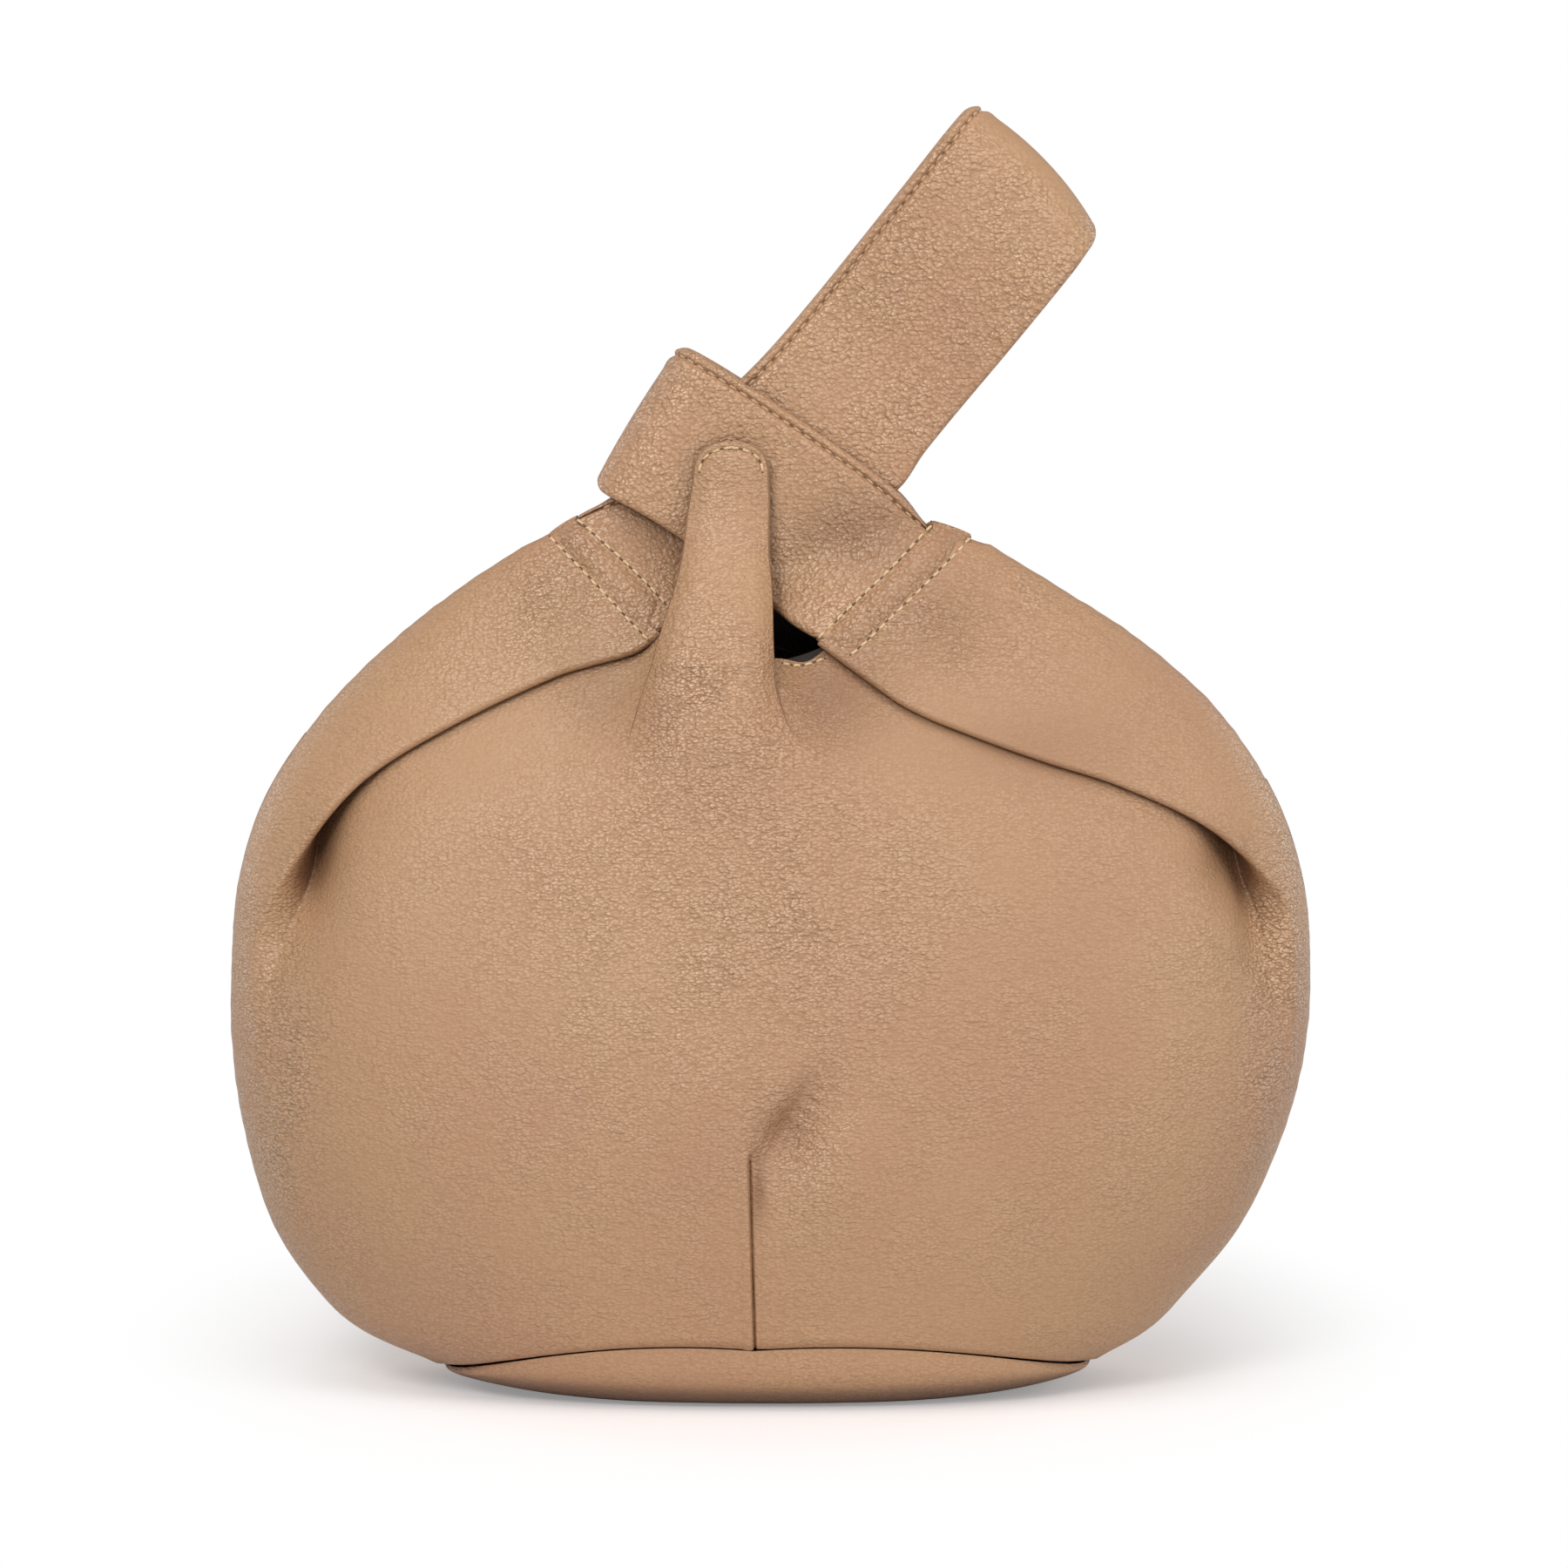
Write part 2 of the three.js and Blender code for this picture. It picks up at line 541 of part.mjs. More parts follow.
// Handles: each has an outer ply and a lining ply, and the long one bends on a line over the knot
const longHandle = handleSurface({
  side: -1,
  outerShares: longOuterShares,
  innerShares: longInnerShares,
  flattenShares: longFlattenShares,
  face: longFace,
  endRadius: longEndRadius,
  openShare: longOpenShare,
});
const shortHandle = handleSurface({
  side: 1,
  outerShares: shortOuterShares,
  innerShares: shortInnerShares,
  flattenShares: shortFlattenShares,
  face: shortFace,
  endRadius: shortFace * shortEndShare,
  openShare: shortOpenShare,
});
const longLength = longHandle(0, 0).distanceTo(longHandle(0, 1));
const shortLength = shortHandle(0, 0).distanceTo(shortHandle(0, 1));

// The loop swings on a line across the long handle, midway between its layers. The plies meet there
// with a round end on the loop and a slanted end below it, clear of each other as far as it swings.
const bendAt = bendShare / (1 - longEndRadius / longLength);
const bendOuter = longHandle(0, bendAt).setY(0);
const bendInner = longHandle(1, bendAt).setY(0);
const bendUp = new THREE.Vector3(bendOuter.z - bendInner.z, 0, bendInner.x - bendOuter.x).normalize();
const swing = THREE.MathUtils.degToRad(loopSwing);
const roundEnd = (y) => -Math.sqrt(Math.max(longFace ** 2 - y ** 2, 0));
const slantedEnd = (y) => (y * Math.cos(swing) - longFace - seamGap) / Math.sin(swing);
function cutEnd(lowest, highest, endAt) {
  return (p) => {
    const beyond = p.clone().sub(bendOuter).dot(bendUp);
    const atEnd = beyond > lowest && beyond < highest;
    return atEnd ? p.addScaledVector(bendUp, endAt(Math.abs(p.y)) - beyond) : p;
  };
}
const loopEnd = cutEnd(-seamGap, seamGap, roundEnd);
const strapEnd = cutEnd(-2 * longFace, 0, slantedEnd);

function addHandle(name, surface, alongs, keep) {
  add(name, sheet(surface, handleColumnShares, alongs, 0, ply, keep), tan);
  add(`${name}_lining`, sheet(surface, handleColumnShares, alongs, ply + plyGap, ply, keep), tanInside);
}

const mirrored = (alongs) => alongs.map((along) => 3 - along).reverse();
const longRoot = (2 * seamGap) / longLength;
const foldAt = bendAt - longFace / longLength;
const longAlongs = [...steps(longRoot, longTwistShare, 10), ...steps(longTwistShare, foldAt, 4).slice(1)];
const loopFront = steps(bendAt, 1, 6);
const loopAlongs = [...loopFront, ...steps(1, 2, 10).slice(1, -1), ...mirrored(loopFront)];
addHandle('long_handle_front', longHandle, longAlongs, strapEnd);
addHandle('long_handle_back', longHandle, mirrored(longAlongs), strapEnd);
addHandle('long_handle_loop', longHandle, loopAlongs, loopEnd);

const shortRoot = (2 * seamGap) / shortLength;
const shortFront = [...steps(shortRoot, shortTwistShare, 12), ...steps(shortTwistShare, 1, 5).slice(1)];
const shortAlongs = [...shortFront, ...steps(1, 2, 10).slice(1, -1), ...mirrored(shortFront)];
const fromInnerEdge = (surface) => (across, along) => surface(1 - across, along);
addHandle('short_handle', fromInnerEdge(shortHandle), shortAlongs);

// Tongue, its backing and the press snap that holds it on the short handle
const overNeck = (p) => {
  p.z = Math.max(p.z, neckAt(p.x) + 2 * seamGap);
  return p;
};
const addTonguePly = (name, depth, look) => {
  add(name, sheet(tonguePoint, tongueColumnShares, tongueRowShares, depth, ply, overNeck), look);
};
addTonguePly('closure_tongue', 0, tan);
addTonguePly('tongue_backing', ply + plyGap, tanInside);

function addSnapPlate(name, gap) {
  const tip = tonguePoint(0, 1);
  const plate = add(name, new THREE.CylinderGeometry(snapRadius, snapRadius, snapPlate, 32), antiqueBrass);
  plate.position.set(tip.x, -shortFace - gap - snapPlate / 2, tip.z - snapDrop);
}
addSnapPlate('snap_socket', seamGap);
addSnapPlate('snap_stud', snapPlate + 2 * seamGap);

export default part;
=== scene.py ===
import math

import bpy
import numpy as np
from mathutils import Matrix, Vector
from mathutils.bvhtree import BVHTree


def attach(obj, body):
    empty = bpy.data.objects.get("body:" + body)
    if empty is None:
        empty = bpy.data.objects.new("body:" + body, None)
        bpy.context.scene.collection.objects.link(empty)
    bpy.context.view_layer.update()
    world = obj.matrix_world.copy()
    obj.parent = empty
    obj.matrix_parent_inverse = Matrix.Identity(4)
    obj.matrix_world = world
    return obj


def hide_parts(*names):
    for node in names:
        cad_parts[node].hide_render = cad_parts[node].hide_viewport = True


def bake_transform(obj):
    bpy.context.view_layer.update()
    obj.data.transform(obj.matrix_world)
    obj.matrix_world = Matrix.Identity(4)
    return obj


# Soft leather knot bag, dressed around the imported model. Shapes are worked out in millimetres,
# +Z up and the front towards -Y, and become metres where a mesh is made.
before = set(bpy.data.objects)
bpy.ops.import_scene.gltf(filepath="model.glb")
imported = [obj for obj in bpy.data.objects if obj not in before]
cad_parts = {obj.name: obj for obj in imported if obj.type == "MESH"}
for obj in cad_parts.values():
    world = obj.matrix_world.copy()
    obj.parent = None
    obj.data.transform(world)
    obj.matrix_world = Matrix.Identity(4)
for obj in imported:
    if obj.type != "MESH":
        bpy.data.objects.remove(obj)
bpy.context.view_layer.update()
MM = 0.001

# Body
BODY_WIDTH = 290.0
BODY_HEIGHT = 229.0
BODY_DEPTH = 114.0
SECTION_POWER = 2.3
LEATHER = 1.6
SEAM_GAP = 0.3
PLEAT_EDGE_RADIUS = 1.5
PLEAT_INNER_RADIUS = 0.45
PLEAT_TUCK = 9.0
BACK_NECK_RISE = 16.0
BACK_RISE_SHARE = 0.8
RIDGE_HEIGHT = 14.0
RIDGE_HALF_WIDTH = 13.0
BASE_FLAT_SHARE = 0.66
EVEN_BELOW = 0.25
BOARD = 2.0
LINING = 0.8
LINING_EASE = 3.0
INSET_SHARE = 1.2

# Handles and tongue
PLY = 1.4
PLY_GAP = 0.4
LONG_BORE = 2.4
LONG_END_RADIUS = 11.0
LAYER_GAP = 0.8
TONGUE_HALF_WIDTH = 16.6
TONGUE_LENGTH = 58.0
TONGUE_SAG = 10.0
TONGUE_TIP_ROUND = 8.0
SNAP_PLATE = 1.5
SNAP_BELOW_TIP = 12.0
SNAP_SIDES = 48

HALF_WIDTH = BODY_WIDTH / 2
HALF_DEPTH = BODY_DEPTH / 2
STRAP = 2 * PLY + PLY_GAP
LONG_FACE = LONG_BORE / 2 + STRAP
SHORT_FACE = LONG_FACE + LAYER_GAP + STRAP

# Half width on the left and on the right, and half depth, as shares against the height share
WIDTH_SHARES = [
    [0.02, 0.59, 0.565], [0.065, 0.76, 0.7], [0.11, 0.842, 0.772], [0.19, 0.926, 0.874],
    [0.3, 0.978, 0.953], [0.4, 1, 0.992], [0.5, 1, 1], [0.6, 0.985, 0.985], [0.7, 0.932, 0.93],
    [0.8, 0.823, 0.822], [0.88, 0.696, 0.68], [0.94, 0.576, 0.535], [1, 0.433, 0.383], [1.06, 0.29, 0.235],
]
DEPTH_SHARES = [
    [0.02, 0.72], [0.06, 0.82], [0.1, 0.895], [0.2, 0.975], [0.32, 1], [0.5, 0.935],
    [0.65, 0.79], [0.77, 0.62], [0.86, 0.45], [0.93, 0.31], [1, 0.2], [1.06, 0.14],
]

# Rows run from the base seam (0) to the handle seams and the neckline (1). A row gives the height
# of its side end, how far out that end lies, and the x and height of the pleat edge.
LEFT_ROW_SHARES = [
    [0, 0.025, 1, -0.476, 0.051], [0.07, 0.115, 1, -0.79, 0.12], [0.16, 0.27, 1, -0.92, 0.28],
    [0.3, 0.42, 1, -0.94, 0.414], [0.414, 0.55, 1, -0.945, 0.537], [0.508, 0.65, 1, -0.877, 0.626],
    [0.615, 0.75, 1, -0.764, 0.717], [0.72, 0.86, 1, -0.612, 0.781], [0.865, 0.957, 1, -0.389, 0.848],
    [0.93, 0.997, 0.995, -0.255, 0.872], [1, 1.023, 0.94, -0.2, 0.893],
]
RIGHT_ROW_SHARES = [
    [0, 0.03, 1, 0.44, 0.055], [0.07, 0.12, 1, 0.76, 0.12], [0.16, 0.28, 1, 0.9, 0.28],
    [0.3, 0.43, 1, 0.958, 0.41], [0.438, 0.59, 1, 0.949, 0.569], [0.488, 0.645, 1, 0.9, 0.618],
    [0.565, 0.73, 1, 0.794, 0.675], [0.66, 0.82, 1, 0.638, 0.722], [0.74, 0.88, 1, 0.5, 0.751],
    [0.805, 0.92, 1, 0.389, 0.776], [0.885, 0.965, 1, 0.254, 0.811], [0.94, 0.995, 0.99, 0.164, 0.848],
    [1, 1.008, 0.81, 0.085, 0.884],
]
MIDDLE_SHARES = [
    [0, -0.03, 0.073], [0.07, -0.03, 0.135], [0.16, -0.035, 0.23], [0.3, -0.05, 0.36],
    [0.42, -0.06, 0.46], [0.54, -0.07, 0.555], [0.66, -0.08, 0.65], [0.78, -0.09, 0.735],
    [0.89, -0.1, 0.81], [1, -0.1, 0.866],
]

# Pleat along the rows: share of a half turn, share of the tuck, and reach of the hollow beside it
LEFT_PLEAT_SHARES = [
    [0, 0, 0.3, 0.16], [0.22, 0, 0.4, 0.14], [0.3, 0.04, 0.5, 0.12], [0.37, 0.12, 0.6, 0.1],
    [0.414, 0.22, 0.75, 0.1], [0.465, 0.38, 0.9, 0.1], [0.508, 0.55, 1, 0.1], [0.56, 0.75, 1, 0.12],
    [0.615, 0.92, 1, 0.15], [0.68, 1, 1, 0.2], [0.86, 1, 1, 0.24], [1, 1, 0.6, 0.2],
]
RIGHT_PLEAT_SHARES = [
    [0, 0, 0.3, 0.16], [0.22, 0, 0.4, 0.14], [0.31, 0.05, 0.5, 0.12], [0.38, 0.16, 0.7, 0.1],
    [0.43, 0.34, 0.85, 0.1], [0.47, 0.52, 1, 0.1], [0.52, 0.74, 1, 0.12], [0.57, 0.92, 1, 0.15],
    [0.63, 1, 1, 0.2], [0.86, 1, 1, 0.24], [1, 1, 0.6, 0.2],
]

# Ridge against the height share: middle x, height, half width and steepness
RIDGE_SHARES = [
    [0.55, -0.1, 0, 4, 2], [0.62, -0.1, 0.08, 3.4, 2.2], [0.69, -0.1, 0.26, 2.6, 2.6],
    [0.74, -0.105, 0.5, 1.85, 3.2], [0.78, -0.108, 0.74, 1.3, 3.2], [0.82, -0.108, 0.9, 0.95, 3.2],
    [0.855, -0.104, 0.98, 0.78, 3.2], [0.87, -0.1, 1, 0.76, 3.2], [0.95, -0.1, 1, 0.76, 3.2],
]

# Edges of the handles from their roots (0) to the loop ends (1), as shares of half width and height
LONG_OUTER_SHARES = [
    [0.06, -0.281, 1.052], [0.22, -0.178, 1.118], [0.4, -0.056, 1.183], [0.52, 0.029, 1.24],
    [0.745, 0.187, 1.362], [1, 0.366, 1.505],
]
LONG_INNER_SHARES = [
    [0.2, -0.015, 0.97], [0.345, 0.152, 1.026], [0.435, 0.234, 1.055], [0.52, 0.285, 1.1],
    [0.76, 0.444, 1.223], [1, 0.605, 1.35],
]
SHORT_OUTER_SHARES = [
    [0.17, 0.23, 1.055], [0.42, 0.115, 1.11], [0.8, -0.056, 1.183], [1, -0.165, 1.225],
]
SHORT_INNER_SHARES = [
    [0.12, 0.026, 0.912], [0.66, -0.174, 1.002], [0.84, -0.241, 1.029], [1, -0.328, 1.058],
]
LOOP_CORNER_SHARE = 0.06

# Strap across its width: crown of its face, groove of its stitches, hollow inner face and inner ply
STRAP_CROWN = 0.3
STITCH_GROOVE = 0.95
INNER_FACE_INSET = 2.2
INNER_FACE_DEPTHS = [2.3, 2.2, 2.3]
INNER_PLY_INSET = 2.0
INNER_PLY_DEPTH = 2.5

# Tongue against its own length: middle x, half width, depth of its crest from the tip's depth (0) to
# the root's depth (1), and sag of its edges
TONGUE_SHARES = [
    [0, -0.104, 1.04, 1, 0.9], [0.11, -0.099, 0.98, 0.87, 0.82], [0.32, -0.087, 0.85, 0.5, 0.6],
    [0.48, -0.082, 0.756, 0.204, 0.42], [0.62, -0.079, 0.725, 0.057, 0.28], [0.72, -0.076, 0.7, 0.005, 0.2],
    [0.85, -0.073, 0.66, 0, 0.16], [1, -0.072, 0.65, 0, 0.14],
]
NECK_SHARE = 0.866
NECK_DIP = 3.0

# Stitches
STITCH_PITCH = 3.4
STITCH_LENGTH = 2.6
THREAD_RADIUS = 0.36
GROOVE_HALF_WIDTH = 0.26
EDGE_TO_STITCH = 2.5

# Root bands
BAND_CROWN = 1.7
BAND_THICKNESS = 1.4
BAND_COLUMNS = 17
BAND_STATIONS = 70


def turns_round(count):
    """Angles that go once round in equal steps."""
    return np.arange(count) / count * 2 * math.pi


def read(table, place):
    """Smooth curve through the rows of a table; each row starts with its own place along it."""
    rows = np.asarray(table, float)
    place = np.asarray(place, float)
    last = len(rows) - 1
    i = np.clip(np.searchsorted(rows[:, 0], place) - 1, 0, last - 1)
    before = rows[np.maximum(i - 1, 0)]
    a = rows[i]
    b = rows[i + 1]
    after = rows[np.minimum(i + 2, last)]
    span = b[..., :1] - a[..., :1]
    q = np.clip((place[..., None] - a[..., :1]) / span, 0, 1)
    slope_a = (b - before) / (b[..., :1] - before[..., :1]) * span
    slope_b = (after - a) / (after[..., :1] - a[..., :1]) * span
    value = (2 * q**3 - 3 * q**2 + 1) * a + (q**3 - 2 * q**2 + q) * slope_a
    value = value + (3 * q**2 - 2 * q**3) * b + (q**3 - q**2) * slope_b
    return value[..., 1:]


def ease(share):
    q = np.clip(share, 0, 1)
    return q * q * (3 - 2 * q)


def mix(a, b, share):
    return a + (b - a) * share


def bump(distance, width):
    return np.exp(-((distance / width) ** 2))


def unit(vectors):
    return vectors / np.maximum(np.linalg.norm(vectors, axis=-1, keepdims=True), 1e-12)


def run_lengths(grid, axis):
    """Distance of each point of a line or grid from its first one, along the surface."""
    hops = np.linalg.norm(np.diff(grid, axis=axis), axis=-1)
    start = np.zeros_like(np.take(hops, [0], axis=axis))
    return np.concatenate([start, np.cumsum(hops, axis=axis)], axis=axis)


def edge_distance(grid, axis):
    """Distance of each point of a grid from the nearer end of its row or column."""
    along = run_lengths(grid, axis)
    return np.minimum(along, np.take(along, [-1], axis=axis) - along)


def at_places(line, lengths, places):
    """Points at places along a line whose own points lie at the given lengths."""
    return np.stack([np.interp(places, lengths, column) for column in line.T], -1)


def keep_apart(grid, face):
    """Holds a surface on its own side of the side seams."""
    grid[..., 1] = face * np.maximum(face * grid[..., 1], SEAM_GAP / 2)
    return grid


def half_width_at(z, side):
    return read(WIDTH_SHARES, z / BODY_HEIGHT)[..., 0 if side < 0 else 1] * HALF_WIDTH


def half_depth_at(z):
    return read(DEPTH_SHARES, z / BODY_HEIGHT)[..., 0] * HALF_DEPTH


def body_point(x, z, side, face):
    """Point of the smooth body for a place in the front view; face is -1 at the front, 1 at the back."""
    across = np.minimum(np.abs(x) / half_width_at(z, side), 1)
    y = half_depth_at(z) * (1 - across**SECTION_POWER) ** (1 / SECTION_POWER)
    return np.stack([x, face * y, z], -1)


def body_level(p, side):
    wide = (np.abs(p[..., 0]) / half_width_at(p[..., 2], side)) ** SECTION_POWER
    return wide + (np.abs(p[..., 1]) / half_depth_at(p[..., 2])) ** SECTION_POWER


def body_normal(p, side):
    step = LEATHER / 100
    slopes = []
    for axis in range(3):
        move = np.zeros(3)
        move[axis] = step
        slopes.append(body_level(p + move, side) - body_level(p - move, side))
    return unit(np.stack(slopes, -1))


class Rows:
    """Rows of one half of a panel from the side seam to the middle, measured along the smooth body."""

    steps = 360

    def __init__(self, vs, side, face):
        self.side = side
        self.face = face
        vs = np.asarray(vs, float)
        table = read(LEFT_ROW_SHARES if side < 0 else RIGHT_ROW_SHARES, vs)
        middle_at = read(MIDDLE_SHARES, vs)
        end_z = table[:, 0] * BODY_HEIGHT
        end_x = side * np.minimum(table[:, 1], 1) * half_width_at(end_z, side)
        end = np.stack([end_x, end_z], -1)
        fold = np.stack([table[:, 2] * HALF_WIDTH, table[:, 3] * BODY_HEIGHT], -1)
        middle = np.stack([middle_at[:, 0] * HALF_WIDTH, middle_at[:, 1] * BODY_HEIGHT], -1)
        first = np.linalg.norm(fold - end, axis=-1)
        tau = (first / (first + np.linalg.norm(middle - fold, axis=-1)))[:, None, None]
        t = (np.arange(self.steps + 1) / self.steps)[None, :, None] ** 2
        place = (t - tau) * (t - 1) * end[:, None] / tau
        place = place + t * (t - 1) * fold[:, None] / (tau * (tau - 1))
        place = place + t * (t - tau) * middle[:, None] / (1 - tau)
        if face > 0:
            rise = BACK_NECK_RISE * ease((vs - BACK_RISE_SHARE) / (1 - BACK_RISE_SHARE))[:, None]
            place[..., 1] += rise * np.sin(
                math.pi / 2 * np.maximum((t[..., 0] - tau[..., 0]) / (1 - tau[..., 0]), 0)
            )
        self.points = body_point(place[..., 0], place[..., 1], side, face)
        self.lengths = run_lengths(self.points, 1)
        shares = t[0, :, 0]
        fold_length = np.array([np.interp(a, shares, b) for a, b in zip(tau[:, 0, 0], self.lengths)])
        pleat = read(LEFT_PLEAT_SHARES if side < 0 else RIGHT_PLEAT_SHARES, vs)
        self.angle = math.pi * np.clip(pleat[:, 0], 0, 1)
        self.flat = pleat[:, 1] * PLEAT_TUCK
        radii = PLEAT_EDGE_RADIUS + PLEAT_INNER_RADIUS
        self.start = fold_length - PLEAT_EDGE_RADIUS * np.sin(np.minimum(self.angle, math.pi / 2))
        self.open = self.start + radii * np.sin(self.angle) + self.flat * np.cos(self.angle)
        self.total = self.lengths[:, -1]
        self.drop = radii * (1 - np.cos(self.angle)) + self.flat * np.sin(self.angle)
        self.hollow = np.minimum(pleat[:, 2] * HALF_WIDTH, (self.total - self.open) / 2)

    def at(self, length, out):
        """Points at lengths along the rows, moved out from the smooth body."""
        found = np.array([at_places(*row) for row in zip(self.points, self.lengths, length)])
        return found + body_normal(found, self.side) * out[..., None]

    def panel(self, zones):
        """Grid of points: shoulder (zone 0 to 1), pleat (1 to 2) and front (2 to 3)."""
        zones = np.asarray(zones, float)[None, :]
        start, opened, total = (a[:, None] for a in (self.start, self.open, self.total))
        angle, flat, drop = (a[:, None] for a in (self.angle, self.flat, self.drop))
        shoulder = np.clip(zones, 0, 1) ** 1.5 * start
        edge = PLEAT_EDGE_RADIUS * angle
        run = np.clip(zones - 1, 0, 1) * (edge + flat + PLEAT_INNER_RADIUS * angle)
        turned = np.minimum(run, edge) / PLEAT_EDGE_RADIUS
        straight = np.clip(run - edge, 0, flat)
        back = angle - np.maximum(run - edge - flat, 0) / PLEAT_INNER_RADIUS
        along = PLEAT_EDGE_RADIUS * np.sin(turned) + straight * np.cos(angle)
        along = along + PLEAT_INNER_RADIUS * (np.sin(angle) - np.sin(back))
        down = PLEAT_EDGE_RADIUS * (1 - np.cos(turned)) + straight * np.sin(angle)
        down = down + PLEAT_INNER_RADIUS * (np.cos(back) - np.cos(angle))
        beyond = (1 - np.clip(3 - zones, 0, 1) ** 1.2) * (total - opened)
        hollow = drop * bump(beyond, self.hollow[:, None]) * ease((total - opened - beyond) / 12)
        length = np.where(zones <= 1, shoulder, np.where(zones < 2, start + along, opened + beyond))
        out = np.where(zones <= 1, 0, np.where(zones < 2, -down, -hollow))
        points = self.at(np.broadcast_to(length, out.shape), out)
        if self.face < 0:
            points[..., 1] -= np.where(zones >= 2, ridge_at(points), 0)
        return keep_apart(points, self.face)


def ridge_at(p):
    table = read(RIDGE_SHARES, p[..., 2] / BODY_HEIGHT)
    off = np.abs(p[..., 0] - table[..., 0] * HALF_WIDTH) / (table[..., 2] * RIDGE_HALF_WIDTH)
    share = np.maximum(table[..., 1], 0)
    return RIDGE_HEIGHT * share / (1 + off ** table[..., 3]) - 1.2 * share**3 * bump(off - 2.1, 0.5)


def grid_normals(grid):
    """Unit normals of a grid of points, rows first."""
    across = np.gradient(grid, axis=1)
    up = np.gradient(grid, axis=0)
    return unit(np.cross(across, up))


def raised(grid, height):
    """Surface moved outwards by a height."""
    return grid + grid_normals(grid) * np.asarray(height)[..., None]


def join_parts(parts):
    """Points and faces of several parts, each given as points and faces of its own."""
    points = []
    faces = []
    for own_points, own_faces in parts:
        faces += [[k + len(points) for k in face] for face in own_faces]
        points += np.reshape(own_points, (-1, 3)).tolist()
    return points, faces


def add_object(name, data):
    added = bpy.data.objects.new(name, data)
    bpy.context.scene.collection.objects.link(added)
    return added


def make_mesh(name, points, faces, look, body="bag", face_materials=None):
    """Piece that rides on a body; a look is the slot of a piece followed by its materials."""
    slot, *materials = look
    mesh = bpy.data.meshes.new(name)
    mesh.from_pydata((np.reshape(points, (-1, 3)) * MM).tolist(), [], faces)
    for material in materials:
        mesh.materials.append(material)
    if face_materials is not None:
        mesh.polygons.foreach_set("material_index", face_materials)
    mesh.polygons.foreach_set("use_smooth", [True] * len(mesh.polygons))
    mesh.update()
    piece = add_object(name, mesh)
    if body:
        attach(piece, body)
    return piece


def keep_value(piece, name, values):
    """Value per point of a mesh, read by its material."""
    layer = piece.data.attributes.new(name, "FLOAT", "POINT")
    filled = np.zeros(len(piece.data.vertices), np.float32)
    filled[:np.size(values)] = np.ravel(values)
    layer.data.foreach_set("value", filled)


def grid_faces(rows, columns, first=0, flip=False, closed=False):
    """Quads of a grid; a closed grid joins its last column to its first."""
    faces = []
    for j in range(rows - 1):
        for i in range(columns if closed else columns - 1):
            k = (i + 1) % columns
            quad = [first + j * columns + i, first + j * columns + k]
            quad += [first + (j + 1) * columns + k, first + (j + 1) * columns + i]
            faces.append(quad[::-1] if flip else quad)
    return faces


def closed_sheet(grid, thickness, rounds=3, reach=1.0):
    """Points and faces of a sheet, from its outer grid inwards; reach rounds its edges outwards."""
    rows, columns = grid.shape[:2]
    normals = grid_normals(grid)
    thickness = np.broadcast_to(np.asarray(thickness, float), (rows, columns))
    inner = grid - normals * thickness[..., None]
    points = [grid.reshape(-1, 3), inner.reshape(-1, 3)]
    count = rows * columns
    faces = grid_faces(rows, columns) + grid_faces(rows, columns, count, flip=True)
    ring = [(0, i) for i in range(columns)] + [(j, columns - 1) for j in range(1, rows)]
    ring += [(rows - 1, i) for i in range(columns - 2, -1, -1)] + [(j, 0) for j in range(rows - 2, 0, -1)]
    js, ks = np.array(ring).T
    inside = grid[np.clip(js, 1, rows - 2), np.clip(ks, 1, columns - 2)]
    outward = unit(grid[js, ks] - inside)
    loops = [js * columns + ks]
    for step in range(1, rounds + 1):
        turn = math.pi * step / (rounds + 1)
        depth = thickness[js, ks, None] / 2 * (1 - math.cos(turn))
        beyond = thickness[js, ks, None] / 2 * math.sin(turn) * reach
        loops.append(2 * count + (step - 1) * len(ring) + np.arange(len(ring)))
        points.append(grid[js, ks] - normals[js, ks] * depth + outward * beyond)
    loops.append(count + js * columns + ks)
    for a, b in zip(loops, loops[1:]):
        for i in range(len(ring)):
            k = (i + 1) % len(ring)
            faces.append([int(a[i]), int(b[i]), int(b[k]), int(a[k])])
    return np.concatenate(points), faces


def half_panel(vs, zones, side, face):
    """Half a panel; below the pleats its rows are evened out, because they only follow the body."""
    grid = Rows(np.maximum(vs, EVEN_BELOW), side, face).panel(zones)
    lowest = Rows([0.0, EVEN_BELOW], side, face).panel(zones)
    low = vs < EVEN_BELOW
    share = (vs[low] / EVEN_BELOW)[:, None]
    wide = lowest[..., 0] / half_width_at(lowest[..., 2], side)
    z = mix(lowest[0, :, 2], lowest[1, :, 2], share)
    x = np.clip(mix(wide[0], wide[1], share), -1, 1) * half_width_at(z, side)
    grid[low] = body_point(x, z, side, face)
    return keep_apart(grid, face)


def panel_grid(vs, zones, face):
    """Outer surface of a whole panel, its columns running so that the normals point outwards."""
    left, right = (half_panel(np.asarray(vs, float), zones, side, face) for side in (-1, 1))
    grid = np.concatenate([left, right[:, -2::-1]], axis=1)
    return grid if face < 0 else grid[:, ::-1]


def panel_zones(shoulder, pleat, front):
    first = np.linspace(0, 1, shoulder, endpoint=False)
    second = np.linspace(1, 2, pleat, endpoint=False)
    third = 3 - np.linspace(1, 0, front + 1) ** 1.5
    return np.concatenate([first, second, third])


# Dart and dimple of the front panel: places as x and z, directions as across and up
DART_HEIGHTS = [17, 52, 70]
DART_PLACES = [-4.2, -5.2, -5.6]
DART_START = 12
DART_END = 73
DIMPLE = (-2.5, 70)
DIMPLE_WAY = (0.56, 0.83)
DIMPLE_DEPTH = 5.6
FAN_MIDDLE = (-4, 66)
SHOULDER_SEAM = [(77, 213), (103, 192), (122, 176), (131, 166)]


